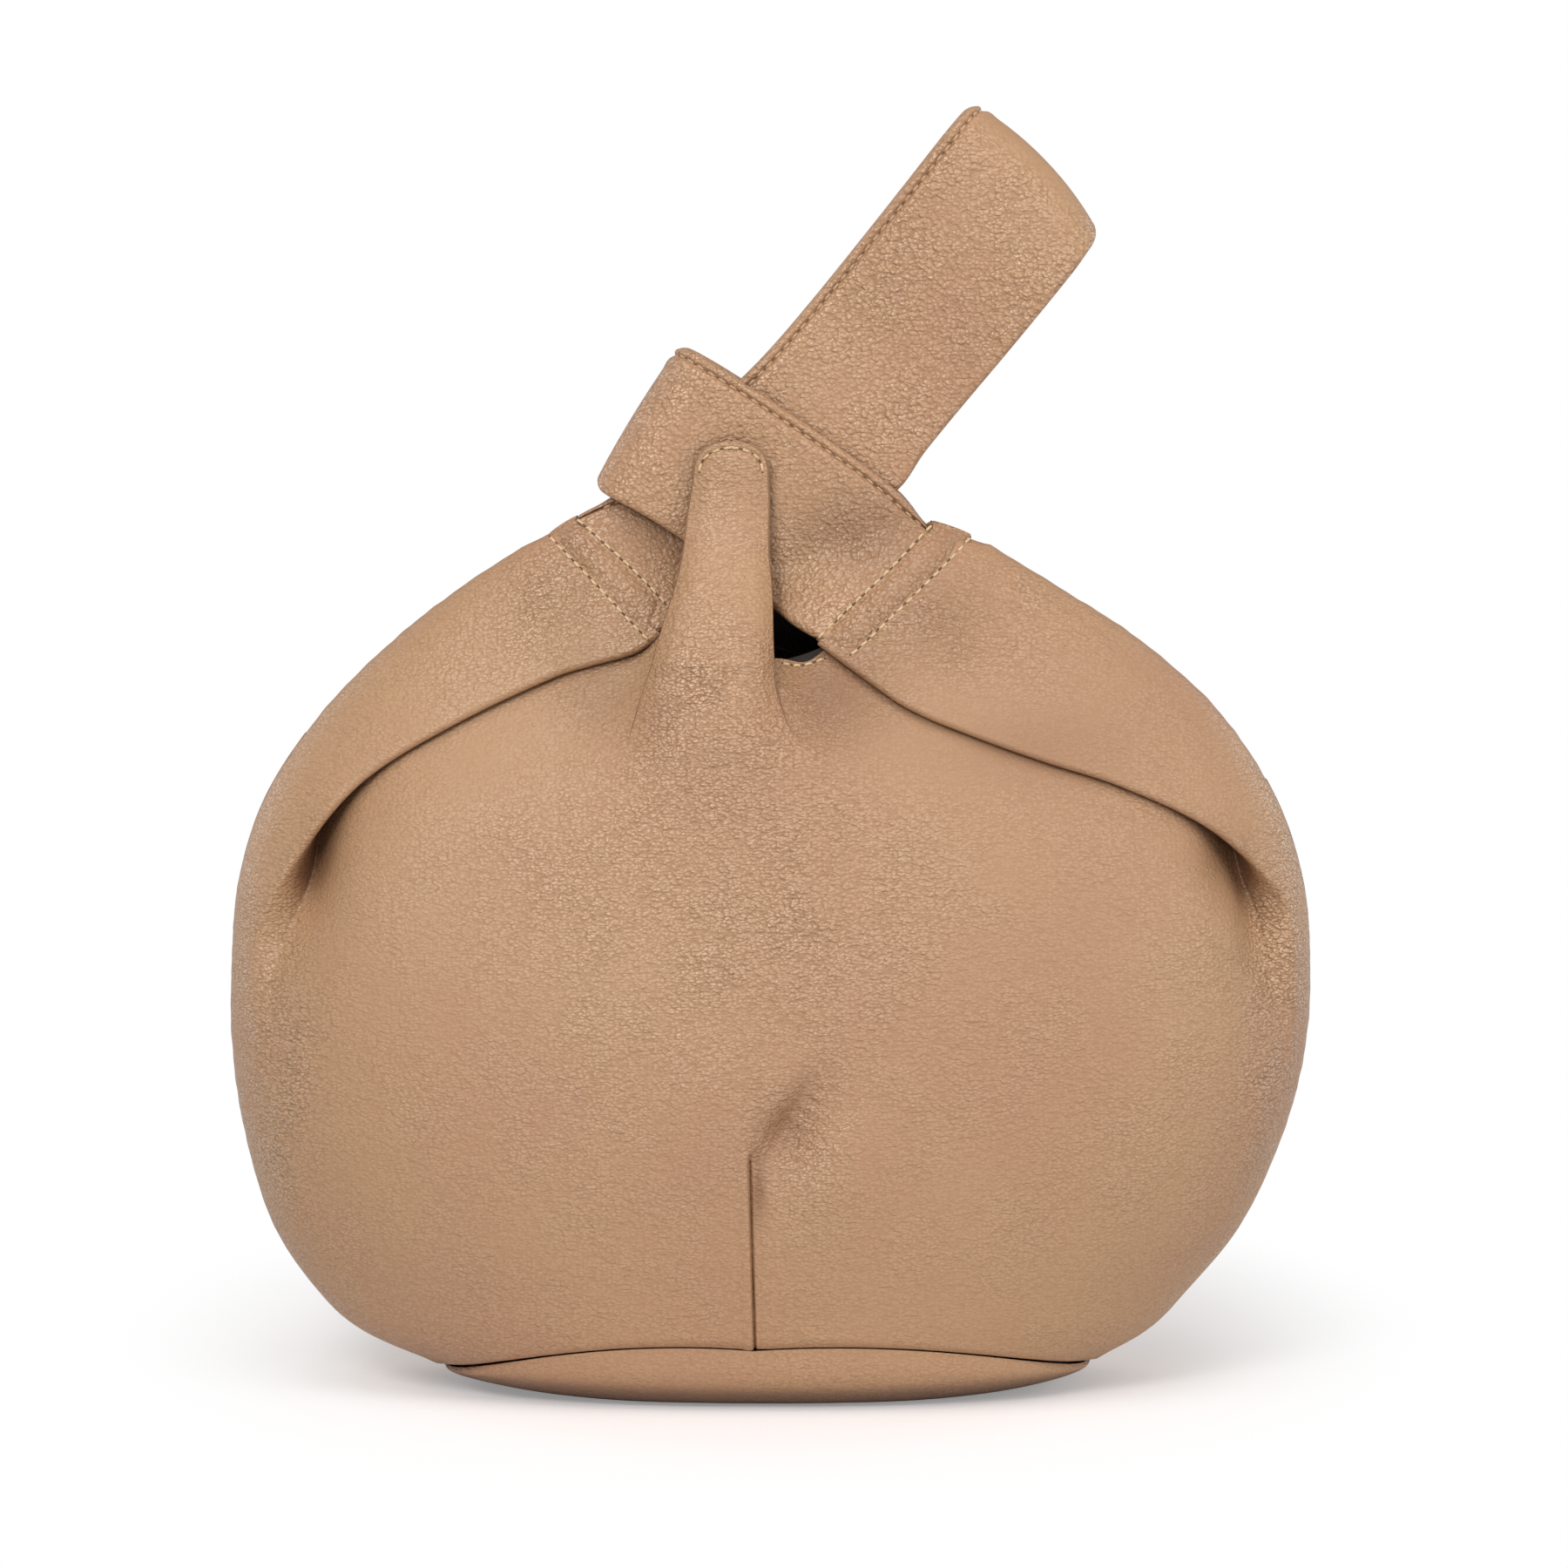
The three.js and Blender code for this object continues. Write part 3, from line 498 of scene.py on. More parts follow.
def line_distance(x, z, line):
    """Distance in the front view from a broken line of (x, z) places."""
    best = np.inf
    for a, b in zip(np.array(line, float), np.array(line[1:], float)):
        t = np.clip(((x - a[0]) * (b[0] - a[0]) + (z - a[1]) * (b[1] - a[1])) / np.sum((b - a) ** 2), 0, 1)
        best = np.minimum(best, np.hypot(x - mix(a[0], b[0], t), z - mix(a[1], b[1], t)))
    return best


def ripples(x, z, middle, lean, size, wave, strength):
    """Patch of soft wrinkles that run across the leaning direction."""
    u = (x - middle[0]) * math.cos(lean) + (z - middle[1]) * math.sin(lean)
    v = -(x - middle[0]) * math.sin(lean) + (z - middle[1]) * math.cos(lean)
    turn = 2 * math.pi * u / wave + 1.2 * np.sin(u * 0.21 + v * 0.17) + 0.8 * np.sin(v * 0.31 + 1)
    return strength * np.sin(turn) * bump(u, size[0]) * bump(v, size[1])


def front_relief(grid):
    """Heights of the dart, its dimple and the soft folds round them on the front panel."""
    x = grid[..., 0]
    z = grid[..., 2]
    off = x - np.interp(z, DART_HEIGHTS, DART_PLACES)
    reach = ease((z - DART_START) / 6) * ease((DART_END - z) / 5)
    top = ease((z - 22) / 40)
    height = -1.1 * bump(off, 0.4) * reach
    height = height + 0.45 * bump(off + 1.6, 1.5) * reach
    height = height - (0.35 + 0.95 * top) * bump(off, 2.4 + 3.2 * top) * reach * ease(0.5 + off / 0.5)
    along = (x - DIMPLE[0]) * DIMPLE_WAY[0] + (z - DIMPLE[1]) * DIMPLE_WAY[1]
    across = (x - DIMPLE[0]) * DIMPLE_WAY[1] - (z - DIMPLE[1]) * DIMPLE_WAY[0]
    pull = bump(along - 10, np.where(along > 10, 15, 11))
    pull = pull * bump(across - 1.5, np.where(across > 1.5, 9.5, 4.2))
    height = height - DIMPLE_DEPTH * pull
    height = height + 0.25 * np.sin(along * 1.5 + 1.5 * np.sin(across * 0.5)) * pull * (along > 0)
    height = height + 1.6 * bump(x + 16, 13) * bump(z - 84, 18)
    height = height + 1.0 * bump(x - 17, 10) * bump(z - 62, 16)
    aside = x - FAN_MIDDLE[0]
    above = z - FAN_MIDDLE[1]
    fan = np.arctan2(above, aside)
    rays = np.sin(fan * 19 + 1.4 * np.sin(fan * 5)) * bump(np.hypot(aside, above) - 9, 5)
    height = height + 0.22 * (rays * ease((z - 60) / 6) * (aside > 0))
    height = height + ripples(x, z, (57, 199), lean=1.2, size=(17, 30), wave=5.5, strength=0.24)
    height = height + ripples(x, z, (-50, 207), lean=-1.1, size=(12, 20), wave=5.0, strength=0.12)
    return height - 0.35 * bump(line_distance(x, z, SHOULDER_SEAM), 0.8)


# Where the grain stands out or is pulled flat: x, z, reach across, reach up, change
FRONT_GRAIN = [
    (-14, 188, 20, 23, 0.75), (-59, 212, 19, 10, 0.45), (50, 208, 30, 15, 0.4), (-131, 98, 8, 38, 0.85),
    (133, 106, 8, 36, 0.85), (0, 135, 42, 34, 0.42), (56, 178, 34, 16, -0.35), (-76, 172, 28, 13, -0.25),
    (-90, 110, 22, 30, -0.2), (8, 75, 14, 16, 0.35), (60, 30, 30, 18, -0.1),
]

# Painted shade in the hollows: x, z, reach across, reach up, share
FRONT_PAINTED_SHADE = [
    (16, 190, 16, 14, 0.8), (-47, 190, 13, 12, 0.45), (70, 175, 26, 10, 0.3), (4, 76, 7, 10, 0.45),
    (-3.2, 61, 1.8, 8, 0.9), (118, 146, 5, 8, 0.6), (-119, 148, 5, 9, 0.5), (125.5, 139, 2.5, 9, 0.8),
    (-123, 140, 4, 7, 0.5), (45, 208, 15, 13, 0.45), (-56, 213, 17, 13, 0.3),
]


def soft_patches(grid, patches, start):
    value = np.full(grid.shape[:2], start)
    for x, z, wide, high, change in patches:
        value = value + change * bump(grid[..., 0] - x, wide) * bump(grid[..., 2] - z, high)
    return value


def front_grain(grid):
    return np.clip(soft_patches(grid, FRONT_GRAIN, 0.5), 0.08, 1.2)


def front_painted_shade(grid):
    """Painted shade in the hollows and inside the pleats."""
    inside_pleat = ease((ZONES_WHOLE - 1.3) / 0.25) * ease((2.04 - ZONES_WHOLE) / 0.06)
    high_enough = ease((grid[..., 2] - 132) / 12)
    return np.clip(soft_patches(grid, FRONT_PAINTED_SHADE, 0.0) + 0.9 * inside_pleat * high_enough, 0, 1)


def calm_sides(grid, reach, least):
    """Share of the grain that is left near the side seams, where the leather is pulled flat."""
    return mix(least, 1, ease(edge_distance(grid, 1) / reach))


def seam_relief(grid):
    """Heights that draw the leather into the side seams and the base seam."""
    along = run_lengths(grid, 1)
    side = edge_distance(grid, 1)
    foot = run_lengths(grid, 0)
    height = -1.0 * bump(side, 1.5) - 0.9 * bump(foot, 1.3) + 0.25 * bump(foot - 3.5, 1.6)
    wave = np.sin(foot * 0.71 + 1.7 * np.sin(foot * 0.13)) * np.sin(foot * 0.23 + 0.6)
    height = height + 0.12 * wave * bump(side - 3.5, 3.0)
    ruck = np.sin(along * 0.63 + 1.9 * np.sin(along * 0.11)) * np.sin(along * 0.19 + 0.4)
    return height + 0.1 * ruck * bump(foot - 4, 3.0)


def sheet_piece(name, grid, thickness, look, body="bag", reach=0.0):
    piece = make_mesh(name, *closed_sheet(grid, thickness, reach=reach), look, body)
    piece.data.set_sharp_from_angle(angle=math.radians(75))
    return piece


def inside_grid(us, vs, face, depth=0.0):
    """Surface inside the body, clear of the pleats; us run from one side seam to the other."""
    left = Rows(vs, -1, face)
    right = Rows(vs, 1, face)
    grid = np.empty((len(vs), len(us), 3))
    for i, u in enumerate(us):
        rows = left if u * face > 0 else right
        share = ease((0.6 + u * face) / 1.2)
        inset = (LEATHER + LINING_EASE + mix(right.drop, left.drop, share)) * INSET_SHARE + depth
        p = rows.at(((1 - abs(u)) * rows.total)[:, None], np.zeros((len(vs), 1)))[:, 0]
        p[:, 0] *= 1 - inset / half_width_at(p[:, 2], rows.side)
        p[:, 1] *= 1 - inset / half_depth_at(p[:, 2])
        grid[:, i] = p
    return keep_apart(grid, face)


DISH_EDGE = np.array([0.93, 0.96, 0.985, 1])
DISH_SHARES = np.concatenate([-DISH_EDGE[::-1], np.linspace(-0.9, 0.9, 25), DISH_EDGE])


def dish_grid(front, floor, gap):
    """Dish that closes a rim, given the rim's front half from left to right."""
    left = -front[0, 0]
    right = front[-1, 0]
    x = front[:, 0]
    side = np.where(x < 0, left, right)
    endways = np.minimum(np.abs(x) / side, 1) ** SECTION_POWER
    w = DISH_SHARES[:, None]
    reach = (endways + (1 - endways) * np.abs(w) ** SECTION_POWER) ** (1 / SECTION_POWER)
    slope = np.clip((reach - BASE_FLAT_SHARE) / (1 - BASE_FLAT_SHARE), 0, 1)
    rim = np.maximum(front[:, 2] - gap, floor)
    z = mix(floor, rim, 1 - np.sqrt(1 - slope * slope))
    y = w * np.abs(front[:, 1])
    grid = np.stack([np.broadcast_to(x, y.shape), y, z], -1)
    return grid[::-1]


def root_line(side, face):
    """Row 1 of a panel's shoulder, where a handle starts: points against the share across."""
    across = np.linspace(0, 1, 120)
    return across, Rows([1.0], side, face).panel(across)[0]


class Handle:
    """Handle band over the front, round its loop end (along 1 to 2) and down the back (2 to 3)."""

    def __init__(self, side, outer, inner, flatten, face_depth, end_radius, open_share, bulge):
        self.side = side
        self.roots = {face: root_line(side, face) for face in (-1, 1)}
        self.outer = self.edge_table(outer, 0)
        self.inner = self.edge_table(inner, -1)
        self.flatten = flatten
        self.face_depth = face_depth
        self.end_radius = end_radius
        self.open_share = open_share
        self.bulge = bulge
        span = np.array(self.outer[-1][1:]) - np.array(self.outer[0][1:])
        self.round_share = end_radius / np.linalg.norm(span)
        self.heading = span / np.linalg.norm(span)

    def edge_table(self, shares, which):
        root = self.roots[-1][1][which]
        return [[0, root[0], root[2]]] + [[t, x * HALF_WIDTH, z * BODY_HEIGHT] for t, x, z in shares]

    def points(self, across, along):
        """Points for shares across (stations by places) at the stations along."""
        turn = math.pi * np.clip(along - 1, 0, 1)
        run = np.where(along <= 1, along, np.minimum(3 - along, 1))
        t = run * (1 - self.round_share) + self.round_share * np.sin(turn)
        across = 0.5 + (across - 0.5) * (1 - LOOP_CORNER_SHARE * np.sin(turn) ** 14)[:, None]
        a = read(self.outer, t)[:, None, :]
        b = read(self.inner, t)[:, None, :]
        root = np.empty(across.shape + (3,))
        for face in (-1, 1):
            chosen = (along <= 1.5) == (face < 0)
            shares, line = self.roots[face]
            root[chosen] = at_places(line, shares, across[chosen])
        rooted = (1 - ease(t / self.flatten[0]))[:, None]
        bulged = self.bulge * (1 - (2 * across - 1) ** 2) * ease((t - 0.75) / 0.25)[:, None]
        x, z = (
            mix(a[..., k], b[..., k], across)
            + (root[..., 2 * k] - mix(self.outer[0][k + 1], self.inner[0][k + 1], across)) * rooted
            + bulged * self.heading[k]
            for k in (0, 1)
        )
        opening = (t - self.open_share) / (1 - self.round_share - self.open_share)
        opened = mix(self.face_depth, self.end_radius, ease(opening))[:, None]
        flattened = ease(t[:, None] / mix(self.flatten[0], self.flatten[1], across))
        depth = mix(np.abs(root[..., 1]), opened, flattened)
        return np.stack([x, -depth * np.cos(turn)[:, None], z], -1)

    def grid(self, offsets, shares, along):
        """Points and outward normals where each place is a share of the width plus an offset."""
        plain = np.linspace(0, 1, 41)
        base = self.points(np.broadcast_to(plain, (len(along), len(plain))), along)
        width = run_lengths(base, 1)[:, -1:]
        across = np.clip(shares[None, :] + offsets[None, :] / width, 0, 1)
        points = self.points(across, along)
        normals = grid_normals(base)
        if self.side > 0:
            normals = -normals
        found = np.array([at_places(row, plain, places) for row, places in zip(normals, across)])
        return points, unit(found), width


def strap_height(near, far):
    """Height of a strap's face against the distances from its stitched edge and its other edge."""
    height = STRAP_CROWN * (1 - np.abs((near - far) / (near + far)) ** 3)
    height = height - STITCH_GROOVE * bump(near - EDGE_TO_STITCH, 0.6)
    return height + 0.25 * bump(near - 1.0, 0.9) + 0.3 * bump(near - 4.6, 1.4)


def round_edge(radius, steps):
    """Half circle round the edge of a ply: how far in from the edge and how deep its places lie."""
    turns = np.linspace(0, math.pi, steps)
    return radius - radius * np.sin(turns), radius - radius * np.cos(turns)


def tube_faces(rows, columns, side):
    """Faces of a closed tube with flat ends; side is the shoulder that its handle comes from."""
    faces = grid_faces(rows, columns, flip=side < 0, closed=True)
    first = list(range(columns))
    last = [(rows - 1) * columns + i for i in first]
    return faces + ([first, last[::-1]] if side > 0 else [first[::-1], last])


def strap_piece(name, handle, body):
    """Rounded closed strap; its face is puffed and pressed in along the stitches."""
    radius = STRAP / 2
    edge_offset, edge_depth = round_edge(radius, 9)
    near = np.array([1.9, 2.1, 2.3, 2.5, 2.7, 2.9, 3.2, 3.8, 5.0, 7.0])
    middle = np.linspace(0.22, 0.78, 9)
    inner_face = [-INNER_FACE_INSET, 0, INNER_FACE_INSET]
    offsets = np.concatenate([edge_offset[::-1], near, np.zeros(9), -near[::-1], -edge_offset, inner_face])
    shares = np.concatenate([np.zeros(19), middle, np.ones(19), [1, 0.5, 0]])
    depths = np.concatenate([edge_depth[::-1], np.zeros(29), edge_depth, INNER_FACE_DEPTHS])
    points, normals, width = handle.grid(offsets, shares, LOOP_STATIONS)
    from_near = shares[None, :] * width + offsets[None, :]
    height = strap_height(from_near, width - from_near)
    height = height * np.clip(1 - depths / radius, 0, 1)
    points = points + normals * (height - depths)[..., None]
    faces = tube_faces(*points.shape[:2], handle.side)
    return make_mesh(name, points, faces, STRAP_LOOK, body), points, faces


def strap_lining(name, handle, body):
    """Lining ply between the turned edges of a strap."""
    offset, depth = round_edge(0.55, 7)
    offset = INNER_PLY_INSET + offset
    near = np.array([3.2, 4.5, 7.0])
    middle = np.linspace(0.22, 0.78, 7)
    offsets = np.concatenate([offset[::-1], near, np.zeros(7), -near[::-1], -offset])
    shares = np.concatenate([np.zeros(10), middle, np.ones(10)])
    depths = INNER_PLY_DEPTH + np.concatenate([depth[::-1], np.zeros(13), depth])
    points, normals, _ = handle.grid(offsets, shares, LOOP_STATIONS)
    points = points - normals * depths[..., None]
    faces = tube_faces(*points.shape[:2], handle.side)
    return make_mesh(name, points, faces, INSIDE_LOOK, body)


def neck_line():
    """Top edge of the front panel from its left fold to its right one, as points."""
    rows = [Rows([1.0], side, -1) for side in (-1, 1)]
    left, right = (r.panel(np.linspace(2, 3, 60))[0] for r in rows)
    return np.concatenate([left, right[-2::-1]])


NECK = neck_line()
NECK_HEIGHT = NECK_SHARE * BODY_HEIGHT
TONGUE_TOP = NECK_HEIGHT + TONGUE_LENGTH
TONGUE_ROOT_DEPTH = float(np.abs(NECK[59, 1])) + SEAM_GAP
TONGUE_TIP_DEPTH = SHORT_FACE + 2 * SNAP_PLATE + 3 * SEAM_GAP + STRAP


def tongue_grid(across, ups, inset):
    """Outer surface of the tongue from its root on the front panel to its tip."""
    table = read(TONGUE_SHARES, ups)
    half_wide = table[:, 1:2] * TONGUE_HALF_WIDTH
    rise = np.maximum(ups * TONGUE_LENGTH - (TONGUE_LENGTH - TONGUE_TIP_ROUND), 0)
    round_off = TONGUE_TIP_ROUND - np.sqrt(np.maximum(TONGUE_TIP_ROUND**2 - rise**2, 0))
    half = half_wide - np.minimum(round_off, TONGUE_TIP_ROUND)[:, None]
    off = across[None, :] * (half - inset) / half_wide
    x = table[:, 0:1] * HALF_WIDTH + across[None, :] * (half - inset)
    depth = mix(TONGUE_TIP_DEPTH, TONGUE_ROOT_DEPTH, table[:, 2:3])
    sag = np.maximum(table[:, 3:4], 0.34) * TONGUE_SAG
    y = sag * np.abs(off) ** mix(2.6, 4.0, table[:, 2:3]) - depth
    z = mix(NECK_HEIGHT, TONGUE_TOP - inset, ups[:, None])
    return np.stack([x, y, np.broadcast_to(z, x.shape)], -1)


def tip_distance(grid):
    """Distance of each point of the tongue from its tip."""
    return run_lengths(grid[::-1], 0)[::-1]


# Camera at the photograph's viewing angle; the ray of one of its pixels finds a place on the bag
CAMERA_TARGET = np.array([3.5, 0.0, 162.3])
CAMERA_DISTANCE = 1900.0
CAMERA_ELEVATION = math.radians(6.0)
CAMERA_LENS = 162.5
CAMERA_SENSOR = 36.0
PHOTO_SIZE = 1800
CAMERA_FORWARD = np.array([0, math.cos(CAMERA_ELEVATION), -math.sin(CAMERA_ELEVATION)])
CAMERA_ABOVE = np.array([0, math.sin(CAMERA_ELEVATION), math.cos(CAMERA_ELEVATION)])
CAMERA_PLACE = CAMERA_TARGET - CAMERA_DISTANCE * CAMERA_FORWARD


def photo_ray(pixel):
    scale = CAMERA_SENSOR / PHOTO_SIZE
    up = (PHOTO_SIZE / 2 - pixel[1]) * scale
    direction = CAMERA_FORWARD * CAMERA_LENS + CAMERA_ABOVE * up
    direction[0] += (pixel[0] - PHOTO_SIZE / 2) * scale
    return unit(direction)


class Carrier:
    """Surfaces that carry other pieces, hit by rays of the photograph from the front or the back."""

    def __init__(self, *surfaces):
        self.tree = BVHTree.FromPolygons(*join_parts(surfaces))

    def hit(self, pixel, face):
        turned = np.array([1, -face, 1])
        start = CAMERA_PLACE * turned
        direction = photo_ray(pixel) * turned
        place, normal, _, _ = self.tree.ray_cast(Vector(start), Vector(direction))
        if place is None:
            return None
        normal = np.array(normal)
        if np.dot(normal, direction) > 0:
            normal = -normal
        return np.array(place), normal


def smooth_line(line, step):
    """Evenly spaced places on a smooth curve through the given ones."""
    line = np.asarray(line, float)
    lengths = run_lengths(line, 0)
    table = np.column_stack([lengths, line])
    count = max(int(lengths[-1] / step), 2)
    return read(table, np.linspace(0, lengths[-1], count))


def stitch_shape():
    """Template of one stitch along X: a soft thread whose ends go down into the leather."""
    rings = np.linspace(-1, 1, 9)
    sides = turns_round(8)
    radius = THREAD_RADIUS * np.sqrt(np.maximum(1 - np.abs(rings) ** 5, 0.02))
    lift = 0.16 - 0.55 * np.abs(rings) ** 3
    points = [
        [p * STITCH_LENGTH / 2, r * math.cos(a) * 1.1, h + r * math.sin(a)]
        for p, r, h in zip(rings, radius, lift) for a in sides
    ]
    return np.array(points), grid_faces(9, 8, closed=True)


def hole_shape():
    """Template of a needle hole: a shallow dish, coloured dark with painted shade."""
    rings = np.linspace(0.06, 1, 4)
    sides = turns_round(8)
    points = [
        [0.52 * r * math.cos(a), 0.42 * r * math.sin(a), 0.1 * (1 - r * r)] for r in rings for a in sides
    ]
    return np.array(points), grid_faces(4, 8, closed=True)


STITCH = stitch_shape()
HOLE = hole_shape()


def place_shapes(template, centres, tangents, normals):
    points, faces = template
    sideways = unit(np.cross(normals, tangents))
    normals = unit(np.cross(tangents, sideways))
    placed = centres[:, None] + points[None, :, :1] * tangents[:, None]
    placed = placed + points[None, :, 1:2] * sideways[:, None] + points[None, :, 2:] * normals[:, None]
    return join_parts((shape, faces) for shape in placed)


def stitches(name, lines, body, thread):
    """Rows of stitches along lines given as points with their normals, with painted shade in a strip along
    each groove and in the needle holes.
    """
    parts = []
    kinds = []
    for line, normals in lines:
        lengths = run_lengths(line, 0)
        count = max(round(lengths[-1] / STITCH_PITCH), 1)
        middles = lengths[-1] / count * (np.arange(count) + 0.5)
        gaps = lengths[-1] / count * np.arange(1, count)
        middle = line + unit(normals) * 0.02
        aside = unit(np.cross(normals, np.gradient(line, axis=0))) * GROOVE_HALF_WIDTH
        # Dark strip along the stitch groove, in painted shade.
        painted_groove_shade = np.stack([middle - aside, middle + unit(normals) * 0.03, middle + aside], 1)
        parts.append((painted_groove_shade, grid_faces(len(line), 3)))
        kinds += [1] * len(parts[-1][1])
        for template, places, kind in ((STITCH, middles, 0), (HOLE, gaps, 1)):
            tangent = unit(at_places(line, lengths, places + 0.6) - at_places(line, lengths, places - 0.6))
            normal = unit(at_places(normals, lengths, places))
            parts.append(place_shapes(template, at_places(line, lengths, places), tangent, normal))
            kinds += [kind] * len(parts[-1][1])
    return make_mesh(name, *join_parts(parts), ("tan_leather", thread, painted_hole_shade), body, kinds)


def carried_line(carrier, pixels):
    """Line on a surface under a smooth curve of photograph pixels, with its normals."""
    found = [carrier.hit(pixel, -1) for pixel in smooth_line(pixels, 4.0)]
    points, normals = (np.array(part) for part in zip(*(item for item in found if item is not None)))
    for _ in range(2):
        normals[1:-1] = unit(normals[:-2] + normals[1:-1] + normals[2:])
    return points, normals


def smooth_depths(depths, shares):
    """Smooth curve through the depths met along an edge, leaving out those that met something else."""
    good = np.isfinite(depths)
    for limit in (3.0, 1.0, 0.5):
        fitted = np.polyval(np.polyfit(shares[good], depths[good], 4), shares)
        good = np.isfinite(depths) & (np.abs(depths - fitted) < limit)
    return fitted


def band_grid(carrier, low, high, face):
    """Puffed leather band over a seam, its edges sunk along two curves of photograph pixels."""
    shares = np.linspace(0, 1, BAND_STATIONS)
    turned = np.array([1, -face, 1])
    start = CAMERA_PLACE * turned
    edges = []
    for curve in (low, high):
        curve = smooth_line(curve, 0.5)
        pixels = at_places(curve, np.arange(len(curve)), shares * (len(curve) - 1))
        found = [carrier.hit(pixel, face) for pixel in pixels]
        depths = np.array([np.nan if item is None else item[0][1] * face for item in found])
        depths = smooth_depths(depths, shares) * face
        rays = np.array([photo_ray(pixel) * turned for pixel in pixels])
        edges.append(start + rays * ((depths - start[1]) / rays[:, 1])[:, None])
    across = np.linspace(0, 1, BAND_COLUMNS)
    grid = mix(edges[0][:, None], edges[1][:, None], across[None, :, None])
    if np.mean(grid_normals(grid)[..., 1]) * face < 0:
        grid = grid[:, ::-1]
    fade = mix(0.25, 1, ease(shares / 0.16)) * mix(0.3, 1, ease((1 - shares) / 0.1))
    rise = BAND_CROWN * fade[:, None] * (1 - np.abs(2 * across - 1) ** 2.2) - 0.4
    return raised(grid, rise)


# Materials
def srgb(red, green, blue):
    """Colour given as it looks on screen (0 to 255), as linear values."""
    parts = [c / 255 for c in (red, green, blue)]
    return [c / 12.92 if c <= 0.04045 else ((c + 0.055) / 1.055) ** 2.4 for c in parts] + [1.0]


def tinted(colour, *shares):
    """Colour with each of its parts taken to a share of itself."""
    return [part * share for part, share in zip(colour, shares)] + [1.0]


class Nodes:
    """Short way to add and join nodes of one material."""

    def __init__(self, name):
        self.material = bpy.data.materials.new(name)
        self.material.use_nodes = True
        self.tree = self.material.node_tree
        self.shader = self.tree.nodes["Principled BSDF"]

    def add(self, kind, settings=None, **inputs):
        node = self.tree.nodes.new(kind)
        for key, value in (settings or {}).items():
            setattr(node, key, value)
        for key, value in inputs.items():
            self.set(node, key, value)
        return node

    def set(self, node, key, value):
        socket = node.inputs[int(key[1:])] if key[0] == "i" and key[1:].isdigit() else node.inputs[key]
        if isinstance(value, bpy.types.NodeSocket):
            self.tree.links.new(value, socket)
        else:
            socket.default_value = value

    def math(self, operation, a, b, clamp=False):
        settings = {"operation": operation, "use_clamp": clamp}
        return self.add("ShaderNodeMath", settings, i0=a, i1=b).outputs[0]

    def vector(self, operation, a, b):
        return self.add("ShaderNodeVectorMath", {"operation": operation}, i0=a, i1=b).outputs[0]

    def places(self, scale=(1, 1, 1)):
        """Object coordinates in millimetres, stretched."""
        found = self.add("ShaderNodeTexCoord").outputs["Object"]
        return self.vector("MULTIPLY", found, tuple(1000 * s for s in scale))

    def noise(self, places, scale, detail, rough, output="Fac"):
        inputs = {"Vector": places, "Scale": scale, "Detail": detail, "Roughness": rough}
        return self.add("ShaderNodeTexNoise", **inputs).outputs[output]

    def kept_value(self, name):
        """Value that keep_value gave to each point of a piece."""
        return self.add("ShaderNodeAttribute", {"attribute_name": name}).outputs["Fac"]

    def blend(self, share, a, b):
        return self.add("ShaderNodeMix", {"data_type": "RGBA"}, i0=share, i6=a, i7=b).outputs[2]

    def range(self, value, low, high, new_low=0.0, new_high=1.0):
        inputs = {"i0": value, "i1": low, "i2": high, "i3": new_low, "i4": new_high}
        return self.add("ShaderNodeMapRange", {"interpolation_type": "SMOOTHSTEP"}, **inputs).outputs[0]

    def bump(self, height, distance):
        return self.add("ShaderNodeBump", Strength=1.0, Distance=distance, Height=height).outputs[0]

    def finish(self, inputs):
        """Material whose surface has the given inputs."""
        for key, value in inputs.items():
            self.set(self.shader, key, value)
        return self.material


